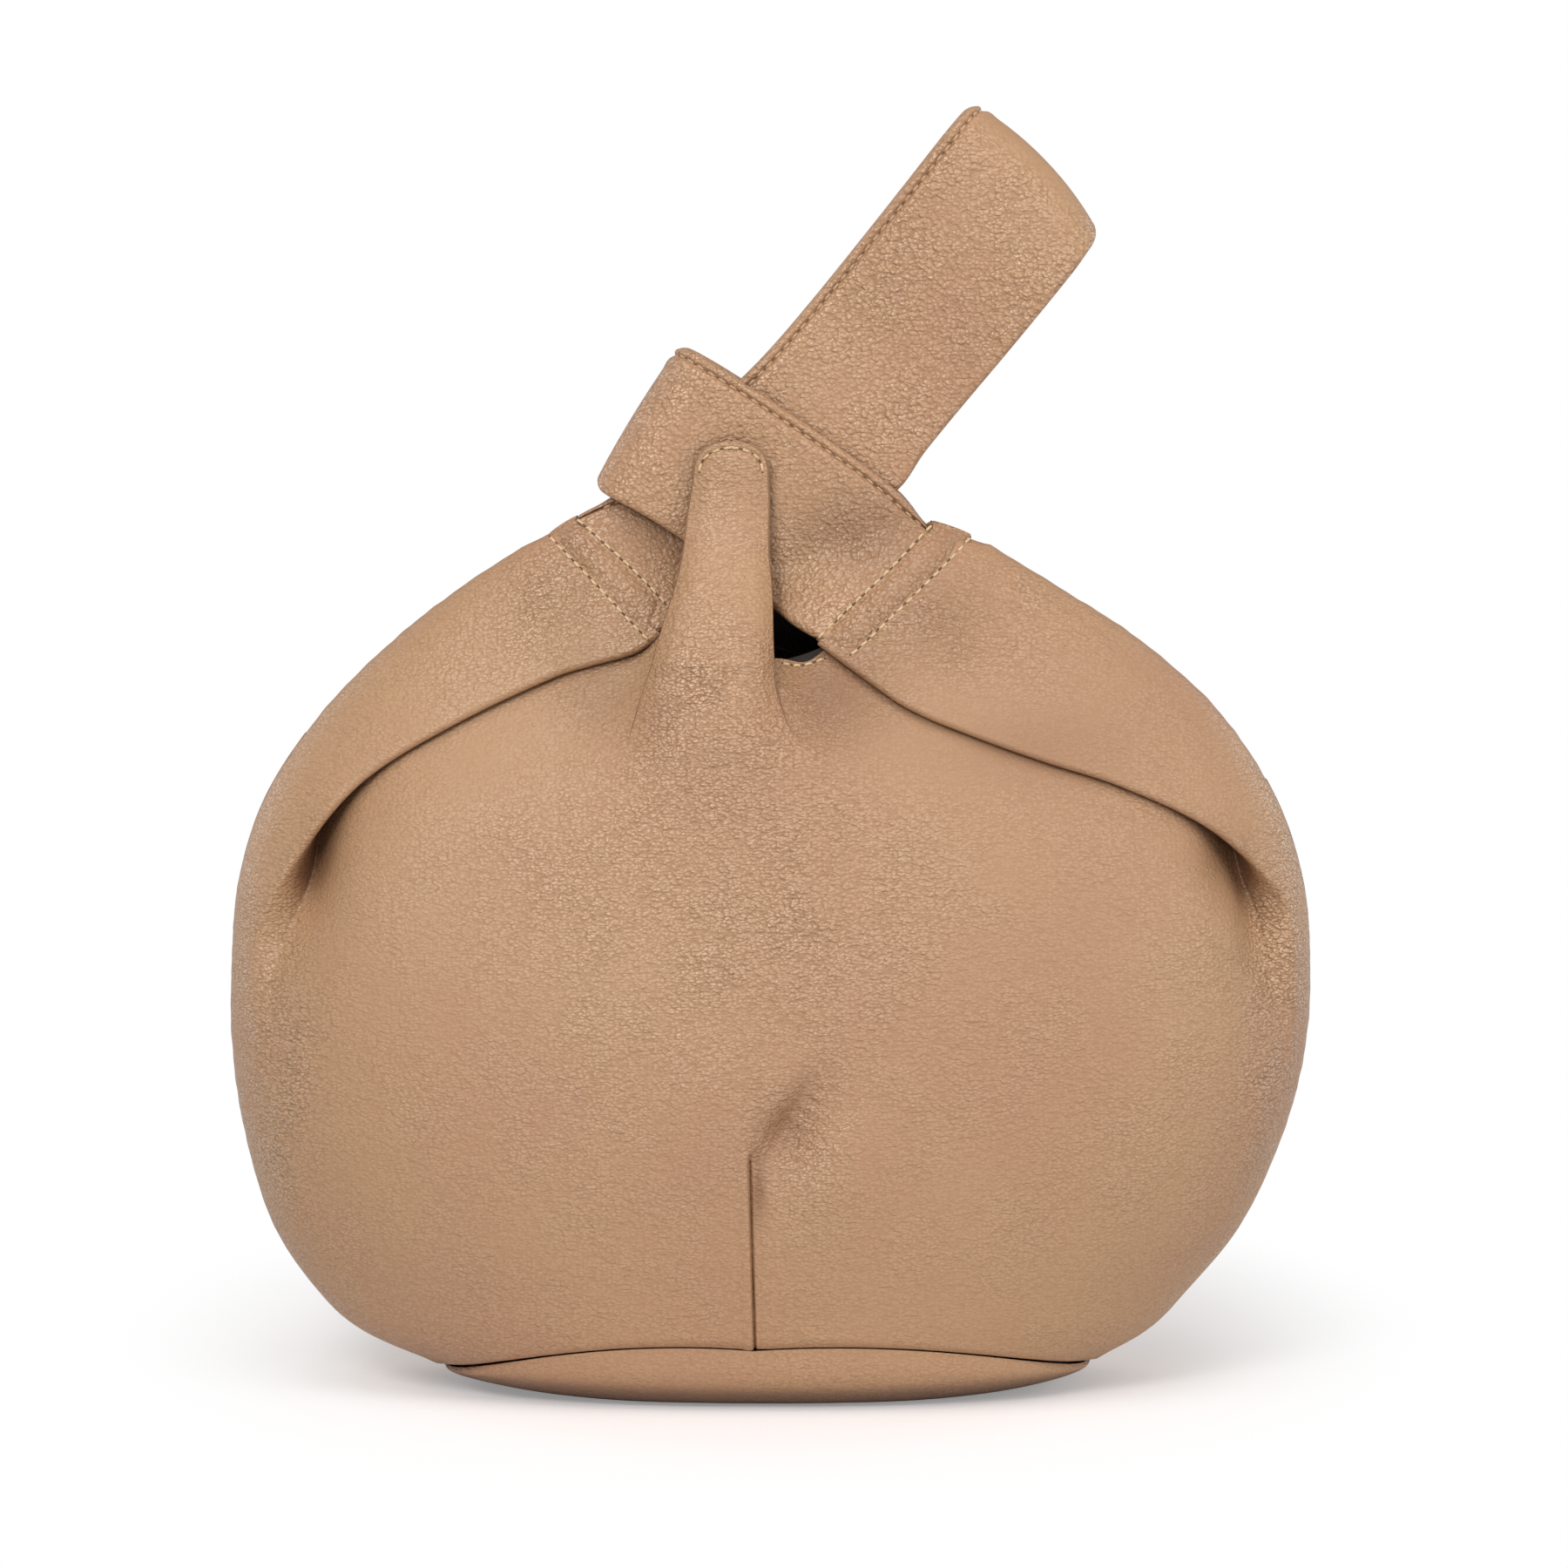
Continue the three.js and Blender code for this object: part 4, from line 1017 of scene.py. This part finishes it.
def pebbled_leather(name, light, pebble, stretch, least_grain):
    """Grained leather: domed pebbles with painted highlights on their tops and painted shade in the creases
    between them, pores, fine wrinkles, and painted shade in the hollows, folds and crevices.
    """
    n = Nodes(name)
    patches = n.range(n.noise(n.places(), 0.055, 3.0, 0.55), 0.3, 0.7, 0.7, 1.25)
    grain = n.math("MULTIPLY", n.math("ADD", n.kept_value("grain"), least_grain), patches)
    places = n.places(tuple(s / pebble for s in stretch))
    warp = n.noise(places, 0.6, 2.0, 0.5, "Color")
    warp = n.vector("MULTIPLY", n.vector("SUBTRACT", warp, (0.5, 0.5, 0.5)), (1.5, 1.5, 1.5))
    warped = n.vector("ADD", places, warp)
    cells = n.add("ShaderNodeTexVoronoi", {"feature": "F1"}, Vector=warped, Scale=1.0, Randomness=0.8)
    reach = n.math("DIVIDE", cells.outputs["Distance"], 0.86)
    dome = n.math("SUBTRACT", 1.0, n.math("MULTIPLY", reach, reach), True)
    each = n.add("ShaderNodeSeparateColor", i0=cells.outputs["Color"]).outputs[0]
    ripple = n.noise(n.vector("MULTIPLY", places, (0.3, 0.3, 0.45)), 1.0, 2.0, 0.5)
    pores = n.noise(places, 3.4, 2.0, 0.6)
    height = n.math("MULTIPLY", dome, n.range(each, 0.0, 1.0, 0.8, 1.2))
    height = n.math("ADD", height, n.math("MULTIPLY", ripple, 1.3))
    height = n.math("MULTIPLY", height, grain)
    height = n.math("ADD", height, n.math("MULTIPLY", pores, 0.12))
    shade = n.range(n.noise(n.places(), 0.016, 3.0, 0.5), 0.3, 0.7)
    base = n.blend(shade, tinted(light, 0.985, 0.945, 0.97), tinted(light, 1.02, 1.045, 1.01))
    # Painted shade in the creases between the pebbles.
    painted_crease_shade = n.math("MULTIPLY", n.range(dome, 0.0, 0.35, 1.0, 0.0), n.math("MULTIPLY", grain, 0.2), True)
    base = n.blend(painted_crease_shade, base, tinted(light, 0.5, 0.42, 0.36))
    strong = n.math("MULTIPLY", grain, 0.8)
    # Painted highlight on the tops of the pebbles.
    crest = n.math("MULTIPLY", n.range(dome, 0.6, 1.0), strong, True)
    base = n.blend(crest, base, tinted(light, 1.35, 1.42, 1.48))
    # Painted shade from each point's kept value: hollows, pleat insides, root bands and shaded strap
    # fronts.
    base = n.blend(n.kept_value("painted_shade"), base, tinted(light, 0.6, 0.52, 0.44))
    # Painted shade where other surfaces close in, from ambient occlusion.
    occlusion = n.add("ShaderNodeAmbientOcclusion", {"samples": 8}, Distance=0.012).outputs["AO"]
    base = n.blend(n.range(occlusion, 0.1, 0.8, 0.85, 0.0), base, tinted(light, 0.22, 0.16, 0.12))
    relief = n.bump(height, 0.42 * MM)
    return n.finish({
        "Base Color": base,
        "Roughness": n.range(height, 0.2, 1.6, 0.54, 0.33),
        "Specular IOR Level": 0.55,
        "Normal": relief,
        "Coat Weight": n.math("MULTIPLY", n.range(dome, 0.4, 0.9), strong, True),
        "Coat Roughness": 0.26,
        "Coat Normal": relief,
    })


def smooth_leather(name, light, dark):
    """Flesh side and facings: fine nap with faint streaks."""
    n = Nodes(name)
    fine = n.noise(n.places(), 2.6, 4.0, 0.65)
    broad = n.noise(n.places((1, 1, 0.4)), 0.05, 3.0, 0.5)
    return n.finish({
        "Base Color": n.blend(n.range(broad, 0.3, 0.7), dark, light),
        "Roughness": n.range(fine, 0.2, 0.8, 0.72, 0.86),
        "Specular IOR Level": 0.3,
        "Normal": n.bump(fine, 0.12 * MM),
    })


def thread_material(name, dark, light):
    """Waxed thread, twisted along its length."""
    n = Nodes(name)
    twist = n.noise(n.places(), 3.2, 2.0, 0.5)
    return n.finish({
        "Base Color": n.blend(n.range(twist, 0.3, 0.7), dark, light),
        "Roughness": 0.55,
        "Normal": n.bump(twist, 0.12 * MM),
    })


def painted_hole_shade_material():
    """Painted shade inside the needle holes and along the stitch grooves."""
    n = Nodes("painted_hole_shade")
    speck = n.noise(n.places(), 4.0, 2.0, 0.5)
    return n.finish({"Base Color": n.blend(speck, srgb(96, 66, 46), srgb(122, 88, 64)), "Roughness": 0.8})


def lining_material():
    """Near-black cotton twill."""
    n = Nodes("black_twill")
    places = n.places()
    kind = {"wave_type": "BANDS", "bands_direction": "DIAGONAL"}
    wave = n.add("ShaderNodeTexWave", kind, Vector=places, Scale=0.9, Distortion=0.6)
    speck = n.noise(places, 1.4, 3.0, 0.6)
    weave = n.math("ADD", n.math("MULTIPLY", wave.outputs["Fac"], 0.6), n.math("MULTIPLY", speck, 0.4))
    return n.finish({
        "Base Color": n.blend(weave, srgb(62, 54, 50), srgb(94, 84, 78)),
        "Roughness": n.range(weave, 0.2, 0.8, 0.85, 0.95),
        "Sheen Weight": 0.15,
        "Normal": n.bump(weave, 0.2 * MM),
    })


def board_material():
    """Grey bonded board with short fibres."""
    n = Nodes("bonded_board")
    fibre = n.noise(n.places((1, 3, 1)), 1.1, 4.0, 0.7)
    return n.finish({
        "Base Color": n.blend(fibre, srgb(112, 105, 95), srgb(158, 150, 138)),
        "Roughness": 0.9,
        "Normal": n.bump(fibre, 0.2 * MM),
    })


def brass_material():
    """Antique brass, darker where it isn't rubbed."""
    n = Nodes("antique_brass")
    tarnish = n.noise(n.places(), 0.45, 4.0, 0.6)
    return n.finish({
        "Base Color": n.blend(n.range(tarnish, 0.35, 0.7), srgb(176, 146, 92), srgb(112, 88, 54)),
        "Metallic": 1.0,
        "Roughness": n.range(tarnish, 0.3, 0.7, 0.28, 0.45),
    })


TAN = srgb(189, 146, 110)
body_leather = pebbled_leather(
    "pebbled_body_leather", TAN, pebble=1.05, stretch=(0.85, 0.85, 1.3), least_grain=0.0
)
strap_leather = pebbled_leather(
    "pebbled_strap_leather", TAN, pebble=1.2, stretch=(0.95, 0.95, 1.15), least_grain=0.85
)
inside_leather = smooth_leather("smooth_inside_leather", srgb(186, 148, 118), srgb(168, 130, 102))
band_thread = thread_material("cream_thread", srgb(208, 174, 128), srgb(242, 216, 174))
edge_thread = thread_material("tan_thread", srgb(190, 152, 114), srgb(220, 186, 150))
painted_hole_shade = painted_hole_shade_material()
BODY_LOOK = ("tan_leather", body_leather)
STRAP_LOOK = ("tan_leather", strap_leather)
INSIDE_LOOK = ("inside_leather", inside_leather)
TWILL_LOOK = ("black_lining", lining_material())
BRASS_LOOK = ("snap_metal", brass_material())

# Body panels
ZONES = panel_zones(shoulder=36, pleat=34, front=100)
ZONES_WHOLE = np.concatenate([ZONES, ZONES[-2::-1]])
ROW_PLACES = np.linspace(0, 1, 230)
front_base = panel_grid(ROW_PLACES, ZONES, -1)
front = keep_apart(raised(front_base, front_relief(front_base) + seam_relief(front_base)), -1)
neck_dip = NECK_DIP * ease((ROW_PLACES - 0.94) / 0.06)[:, None] * bump(front[..., 0] - 9.5, 5.5)
front[..., 2] -= neck_dip * (ZONES_WHOLE >= 2)
back_base = panel_grid(ROW_PLACES, ZONES, 1)
back = keep_apart(raised(back_base, seam_relief(back_base)), 1)
front_panel = sheet_piece("front_panel_leather", front, LEATHER, BODY_LOOK)
keep_value(front_panel, "grain", front_grain(front) * calm_sides(front, reach=6, least=0.3))
# Painted shade in the hollows and inside the pleats of the front panel.
keep_value(front_panel, "painted_shade", front_painted_shade(front))
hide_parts("front_panel")
back_panel = sheet_piece("back_panel_leather", back, LEATHER, BODY_LOOK)
back_grain = (0.5 + 0.3 * bump(back[..., 0], 50)) * calm_sides(back, reach=16, least=0.1)
keep_value(back_panel, "grain", back_grain)
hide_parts("back_panel")

# Welts that close the side seams from behind
WELT_THICKNESS = 0.6
WELT_INSET = 1.1
WELT_REACH = 1.4
for label, column in (("left", 0), ("right", -1)):
    seam = mix(front[:, column], back[:, -1 - column], 0.5)
    inward = np.array([WELT_INSET if label == "left" else -WELT_INSET, 0, 0])
    welt = [seam + inward + np.array([0, y, 0]) for y in (-WELT_REACH, 0, WELT_REACH)]
    welt = np.stack(welt if label == "right" else welt[::-1], 1)
    sheet_piece(label + "_side_seam_welt", welt, WELT_THICKNESS, BODY_LOOK)

# Base
base = dish_grid(panel_grid([0.0], ZONES, -1)[0], floor=0.0, gap=0.1)
base = raised(base, -0.8 * bump(edge_distance(base, 0), 1.2))
base_panel = sheet_piece("base_panel_leather", base, LEATHER, BODY_LOOK)
keep_value(base_panel, "grain", np.full(base.shape[:2], 0.4))
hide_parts("base_panel")
INSIDE_US = np.linspace(-1, 1, 81)
lining_floor = LEATHER + SEAM_GAP + BOARD + SEAM_GAP + LINING
base_inside = dish_grid(inside_grid(INSIDE_US, [0.0], -1)[0], lining_floor, SEAM_GAP)
base_lining = sheet_piece("base_lining_twill", base_inside, LINING, TWILL_LOOK)
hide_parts("base_lining")

# Linings, neck facings and slip pocket
INSIDE_ROWS = {"_lining": np.linspace(0.03, 0.93, 90), "_neck_facing": np.linspace(0.934, 0.985, 14)}
for label, face in (("front", -1), ("back", 1)):
    for kind, rows in INSIDE_ROWS.items():
        grid = inside_grid(INSIDE_US, rows, face)
        piece = sheet_piece(label + kind + "_twill", grid, LINING, TWILL_LOOK)
        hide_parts(label + kind)
pocket = inside_grid(np.linspace(-0.38, 0.38, 41), np.linspace(0.25, 0.62, 50), 1, LINING + SEAM_GAP)
pocket_piece = sheet_piece("slip_pocket_twill", pocket, LINING, TWILL_LOOK, reach=1.0)
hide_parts("slip_pocket")
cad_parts["base_board"].material_slots[0].material = board_material()

# Handles
long_handle = Handle(
    -1, LONG_OUTER_SHARES, LONG_INNER_SHARES, flatten=(0.08, 0.14),
    face_depth=LONG_FACE, end_radius=LONG_END_RADIUS, open_share=0.56, bulge=3.2,
)
short_handle = Handle(
    1, SHORT_OUTER_SHARES, SHORT_INNER_SHARES, flatten=(0.15, 0.3),
    face_depth=SHORT_FACE, end_radius=SHORT_FACE * 1.15, open_share=0.45, bulge=0.6,
)
LEG = np.linspace(0.0005, 1, 130)
LOOP_STATIONS = np.concatenate([LEG, np.linspace(1, 2, 40)[1:-1], 3 - LEG[::-1]])
BEND_MIDDLE = np.array([23.0967, 0.0, 268.3318])
BEND_UP = np.array([0.6539515, 0.0, 0.7565364])


def bend_with_loop(piece):
    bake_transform(piece)


def strap_painted_shade(points, middle, reach, share):
    """Painted shade where another piece would shade the front of a strap."""
    p = points.reshape(-1, 3)
    return share * bump(p[:, 0] - middle[0], reach[0]) * bump(p[:, 2] - middle[1], reach[1]) * (p[:, 1] < 0)


long_strap, long_points, long_faces = strap_piece("long_handle_leather", long_handle, None)
bend_with_loop(long_strap)
# Painted shade on the front of the long handle, under the short loop.
keep_value(long_strap, "painted_shade", strap_painted_shade(long_points, (-34, 231), reach=(12, 12), share=0.6))
up_loop = (long_points.reshape(-1, 3) - BEND_MIDDLE) @ BEND_UP
keep_value(long_strap, "grain", -0.75 * ease((up_loop - up_loop.max() + 8) / 8))
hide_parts("long_handle_front", "long_handle_back", "long_handle_loop")
long_inside = strap_lining("long_handle_inside_leather", long_handle, None)
bend_with_loop(long_inside)
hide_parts("long_handle_front_lining", "long_handle_back_lining", "long_handle_loop_lining")
short_strap, short_points, short_faces = strap_piece("short_handle_leather", short_handle, "bag")
# Painted shade on the front of the short handle.
keep_value(short_strap, "painted_shade", strap_painted_shade(short_points, (23, 231), reach=(19, 11), share=0.75))
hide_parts("short_handle")
short_inside = strap_lining("short_handle_inside_leather", short_handle, "bag")
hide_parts("short_handle_lining")

# Tongue, which runs down on to the ridge of the front panel as a thin flap
TONGUE_ACROSS = np.linspace(-1, 1, 61)
TONGUE_UPS = np.linspace(0, 1, 90)
TONGUE_MIDDLE = len(TONGUE_ACROSS) // 2
TONGUE_CORNER = 9.0
TONGUE_INSET = 1.3
BACKING_INSET = 1.9
TONGUE_LEATHER = STRAP * 0.6
FLAP_LENGTH = 30.0
FLAP_LIFT = 0.12
FLAP_SHARES = [
    [0, 1.04, -0.104], [0.31, 1.17, -0.111], [0.71, 1.48, -0.103], [0.92, 1.84, -0.078], [1, 2.0, -0.072],
]
tongue = tongue_grid(TONGUE_ACROSS, TONGUE_UPS, TONGUE_INSET)
from_tip = tip_distance(tongue)
near_tip = [np.maximum(TONGUE_CORNER - distance, 0) for distance in (edge_distance(tongue, 1), from_tip)]
near_tip = np.hypot(*near_tip)
groove = 0.8 * bump(TONGUE_CORNER - near_tip - 1.7, 0.6) * ease((12 - from_tip) / 4)
tongue_outer = raised(tongue, 0.35 * ease(1 - (near_tip - 4) / 5) - groove)
front_surface = (front, grid_faces(*front.shape[:2]))
front_carrier = Carrier(front_surface)


def front_depth(x, z):
    """How far in front of the middle the front panel lies, straight behind a place in the front view."""
    place, _, _, _ = front_carrier.tree.ray_cast(Vector((x, -300, z)), Vector((0, 1, 0)))
    return -place[1]


flap_shares = np.linspace(1, 0.03, 34)
flap = np.empty((len(flap_shares), len(TONGUE_ACROSS), 3))
flap_gap = np.empty(flap.shape[:2])
crest_y = tongue_outer[0, TONGUE_MIDDLE, 1]
neck_section = tongue_outer[0, :, 1] - crest_y
for j, share in enumerate(flap_shares):
    wide, middle = read(FLAP_SHARES, share)
    z = NECK_HEIGHT - share * FLAP_LENGTH
    x = middle * HALF_WIDTH + TONGUE_ACROSS * wide * (TONGUE_HALF_WIDTH - TONGUE_INSET)
    behind = np.array([front_depth(place, min(z, NECK_HEIGHT - 2.5)) for place in x])
    own = mix(behind[TONGUE_MIDDLE] + FLAP_LIFT, -crest_y, ease(1 - share / 0.3)) - neck_section
    sunk = np.maximum(ease((share - 0.8) / 0.2), np.abs(TONGUE_ACROSS) ** 14 * ease((share - 0.6) / 0.25))
    least = FLAP_LIFT - 0.3 * sunk
    flap_gap[j] = np.maximum(mix(own - behind, least, ease(share * 1.1 - 0.05)), least)
    flap[j] = np.stack([x, -behind - flap_gap[j], np.full(x.shape, z)], -1)
tongue_whole = np.concatenate([flap, tongue_outer])
flap_thickness = np.clip(0.7 * flap_gap, 0.08, TONGUE_LEATHER)
root_thickness = mix(flap_thickness[-1], TONGUE_LEATHER, ease(TONGUE_UPS / 0.05)[:, None])
tongue_thickness = np.concatenate([flap_thickness, root_thickness])
tongue_sheet = closed_sheet(tongue_whole, tongue_thickness, rounds=5)
tongue_piece = make_mesh("closure_tongue_leather", *tongue_sheet, BODY_LOOK, None)
tongue_grain = front_grain(tongue_whole) + 0.2 * ease((tongue_whole[..., 2] - 200) / 30)
keep_value(tongue_piece, "grain", tongue_grain)
backing_grid = raised(tongue_grid(TONGUE_ACROSS, np.linspace(0.1, 1, 80), BACKING_INSET), -TONGUE_LEATHER)
backing = sheet_piece("tongue_backing_leather", backing_grid, STRAP * 0.4, INSIDE_LOOK, None, 1.0)


def bend_with_tab(piece):
    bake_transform(piece)


bend_with_tab(tongue_piece)
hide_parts("closure_tongue")
bend_with_tab(backing)
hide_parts("tongue_backing")

# Root bands over the seams between the panels and the handles
bands = {
    "left": (
        [(629, 613), (668, 652), (707, 694), (746, 736)],
        [(659, 594), (692, 624), (728, 657), (764, 694)],
    ),
    "right": (
        [(1116, 614), (1070, 661), (1023, 707), (975, 753)],
        [(1073, 600), (1027, 650), (983, 692), (938, 735)],
    ),
}
back_surface = (back, grid_faces(*back.shape[:2]))
for end, face, surface in (("front", -1, front_surface), ("back", 1, back_surface)):
    carrier = Carrier(surface, (long_points, long_faces), (short_points, short_faces))
    band_lines = []
    for label, (low, high) in bands.items():
        grid = band_grid(carrier, low, high, face)
        band = sheet_piece(f"{label}_{end}_root_band_leather", grid, BAND_THICKNESS, STRAP_LOOK)
        # Painted shade over the whole band.
        keep_value(band, "painted_shade", np.full(grid.shape[:2], 0.3))
        normals = grid_normals(grid)
        for column in (0, -1):
            band_lines.append((grid[1:, column] + normals[1:, column] * 0.5, normals[1:, column]))
    stitches(end + "_root_band_stitches", band_lines, "bag", band_thread)

# Stitches of the handles
def handle_stitches(name, handle, body):
    """Row of stitches near the outer edge of a handle, from its front root to its back root."""
    offset = np.array([EDGE_TO_STITCH])
    points, normals, width = handle.grid(offset, np.zeros(1), LOOP_STATIONS[4:-4])
    points = points + normals * strap_height(offset, width - offset)[..., None]
    return stitches(name, [(points[:, 0], normals[:, 0])], body, edge_thread)


bend_with_loop(handle_stitches("long_handle_stitches", long_handle, None))
handle_stitches("short_handle_stitches", short_handle, "bag")

# Stitches of the tongue and the front below it
def tongue_path(inset, corner, lowest):
    """Path up the left edge, over the tip and down the right edge, as side, side distance, tip distance."""
    turns = np.linspace(0, math.pi / 2, 9)
    up = [(inset, d) for d in np.arange(TONGUE_LENGTH - lowest, inset + corner, -1.0)]
    round_corner = [(inset + corner * (1 - math.cos(a)), inset + corner * (1 - math.sin(a))) for a in turns]
    left = [(-1, s, t) for s, t in up + round_corner]
    return left + [(1, s, t) for _, s, t in reversed(left)]


def on_tongue(grid, normals, path):
    tips = tip_distance(grid)[:, TONGUE_MIDDLE]
    rows = np.arange(len(grid))
    points = []
    outward = []
    for side, from_side, from_tip in path:
        j = np.interp(-from_tip, -tips, rows)
        low = min(int(j), len(grid) - 2)
        line = mix(grid[low], grid[low + 1], j - low)
        normal = mix(normals[low], normals[low + 1], j - low)
        lengths = run_lengths(line, 0)
        place = from_side if side < 0 else lengths[-1] - from_side
        points.append(at_places(line, lengths, place))
        outward.append(at_places(normal, lengths, place))
    return np.array(points), unit(np.array(outward))


tongue_line = on_tongue(
    tongue_outer, grid_normals(tongue_outer), tongue_path(inset=1.5, corner=5.0, lowest=49.0)
)
tongue_stitches = stitches("tongue_stitches", [tongue_line], None, band_thread)
bend_with_tab(tongue_stitches)
neck_stitches = carried_line(front_carrier, [(897, 761), (905, 763), (919, 764), (936, 760), (948, 755)])
stitches("front_neck_stitches", [neck_stitches], "bag", band_thread)

# Press snap
SNAP_X = float(read(TONGUE_SHARES, 1.0)[0]) * HALF_WIDTH
SNAP_Z = TONGUE_TOP - SNAP_BELOW_TIP
SOCKET_PROFILE = [
    (0.05, -0.35), (2.0, -0.35), (2.0, -1.35), (2.3, -1.5), (3.2, -1.45), (3.6, -1.1), (4.4, -1.0),
    (5.4, -0.85), (5.9, -0.5), (6.0, -0.15), (5.8, 0), (0.05, 0),
]
STUD_PROFILE = [
    (0.05, 0), (5.8, 0), (6.0, 0.2), (5.9, 0.6), (5.3, 1.0), (4.0, 1.2), (2.6, 1.25), (1.75, 1.35),
    (1.55, 1.8), (1.7, 2.2), (1.3, 2.45), (0.05, 2.5),
]


def snap_half(name, profile, y, body):
    """Turned piece about the snap's own Y axis from a profile of (radius, y) pairs."""
    turns = turns_round(SNAP_SIDES)
    points = [
        [SNAP_X + r * math.cos(a), y + rise, SNAP_Z + r * math.sin(a)] for r, rise in profile for a in turns
    ]
    piece = make_mesh(name, points, grid_faces(len(profile), SNAP_SIDES, closed=True), BRASS_LOOK, body)
    piece.data.set_sharp_from_angle(angle=math.radians(40))
    return piece


socket = snap_half("snap_socket_brass", SOCKET_PROFILE, -SHORT_FACE - SEAM_GAP, "bag")
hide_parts("snap_socket")
stud_y = -SHORT_FACE - 2 * SNAP_PLATE - 2 * SEAM_GAP
stud = snap_half("snap_stud_brass", STUD_PROFILE, stud_y, "closure_tab")
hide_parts("snap_stud")


# Stage, lights and camera
def floor_material():
    """Pale floor that keeps the soft shadow near the bag and fades to plain white further off."""
    n = Nodes("pale_floor")
    seen = n.add("ShaderNodeLightPath").outputs["Is Camera Ray"]
    places = n.add("ShaderNodeTexCoord").outputs["Object"]
    places = n.vector("SUBTRACT", n.vector("MULTIPLY", places, (1.0, 0.75, 0.0)), (0.0, 0.06, 0.0))
    apart = n.add("ShaderNodeVectorMath", {"operation": "LENGTH"}, i0=places).outputs["Value"]
    plain = n.add("ShaderNodeEmission", Color=[1, 1, 1, 1], Strength=n.range(seen, 0, 1, 0.6, 1.0))
    fade = n.range(apart, 0.1, 0.19)
    both = n.add("ShaderNodeMixShader", i0=fade, i1=n.shader.outputs[0], i2=plain.outputs[0])
    n.tree.links.new(both.outputs[0], n.tree.nodes["Material Output"].inputs["Surface"])
    return n.finish({
        "Base Color": srgb(242, 240, 240),
        "Roughness": 0.9,
        "Specular IOR Level": 0.1,
        "Emission Color": [1, 1, 1, 1],
        "Emission Strength": n.math("MULTIPLY", seen, 0.25),
    })


def add_floor():
    size = 6.0
    mesh = bpy.data.meshes.new("floor")
    corners = [(x * size, y * size, 0) for x, y in ((-1, -1), (1, -1), (1, 1), (-1, 1))]
    mesh.from_pydata(corners, [], [(0, 1, 2, 3)])
    mesh.materials.append(floor_material())
    floor = add_object("floor", mesh)
    floor.location.z = -0.0002


def aim(thing, place, direction):
    thing.location = place
    thing.rotation_euler = direction.to_track_quat("-Z", "Y").to_euler()


def add_light(name, place, target, size, power):
    light = bpy.data.lights.new(name, "AREA")
    light.shape = "RECTANGLE"
    light.size, light.size_y = size
    light.energy = power
    aim(add_object(name, light), place, Vector(target) - Vector(place))


def add_world():
    world = bpy.data.worlds.new("studio")
    world.use_nodes = True
    tree = world.node_tree
    background = tree.nodes["Background"]
    path = tree.nodes.new("ShaderNodeLightPath")
    strength = tree.nodes.new("ShaderNodeMapRange")
    strength.inputs[3].default_value = 0.335
    strength.inputs[4].default_value = 1.0
    tree.links.new(path.outputs["Is Camera Ray"], strength.inputs[0])
    tree.links.new(strength.outputs[0], background.inputs["Strength"])
    background.inputs["Color"].default_value = (1, 1, 1, 1)
    bpy.context.scene.world = world


def add_camera():
    data = bpy.data.cameras.new("camera")
    data.lens = CAMERA_LENS
    data.sensor_width = CAMERA_SENSOR
    camera = add_object("camera", data)
    aim(camera, CAMERA_PLACE * MM, Vector((CAMERA_TARGET - CAMERA_PLACE) * MM))
    bpy.context.scene.camera = camera


add_floor()
add_world()
add_light("overhead", (0.0, -0.5, 1.3), (0, 0, 0.15), (1.0, 0.8), 4.8)
add_light("key", (-0.5, -1.35, 0.95), (0, 0, 0.18), (0.5, 0.5), 10)
add_light("fill", (1.3, -0.9, 0.5), (0, 0, 0.16), (0.6, 0.8), 5.5)
for side in (-1, 1):
    add_light("rear", (1.4 * side, 1.1, 0.55), (0, 0, 0.16), (0.6, 0.8), 4)
add_camera()
bpy.context.scene.view_settings.view_transform = "Standard"
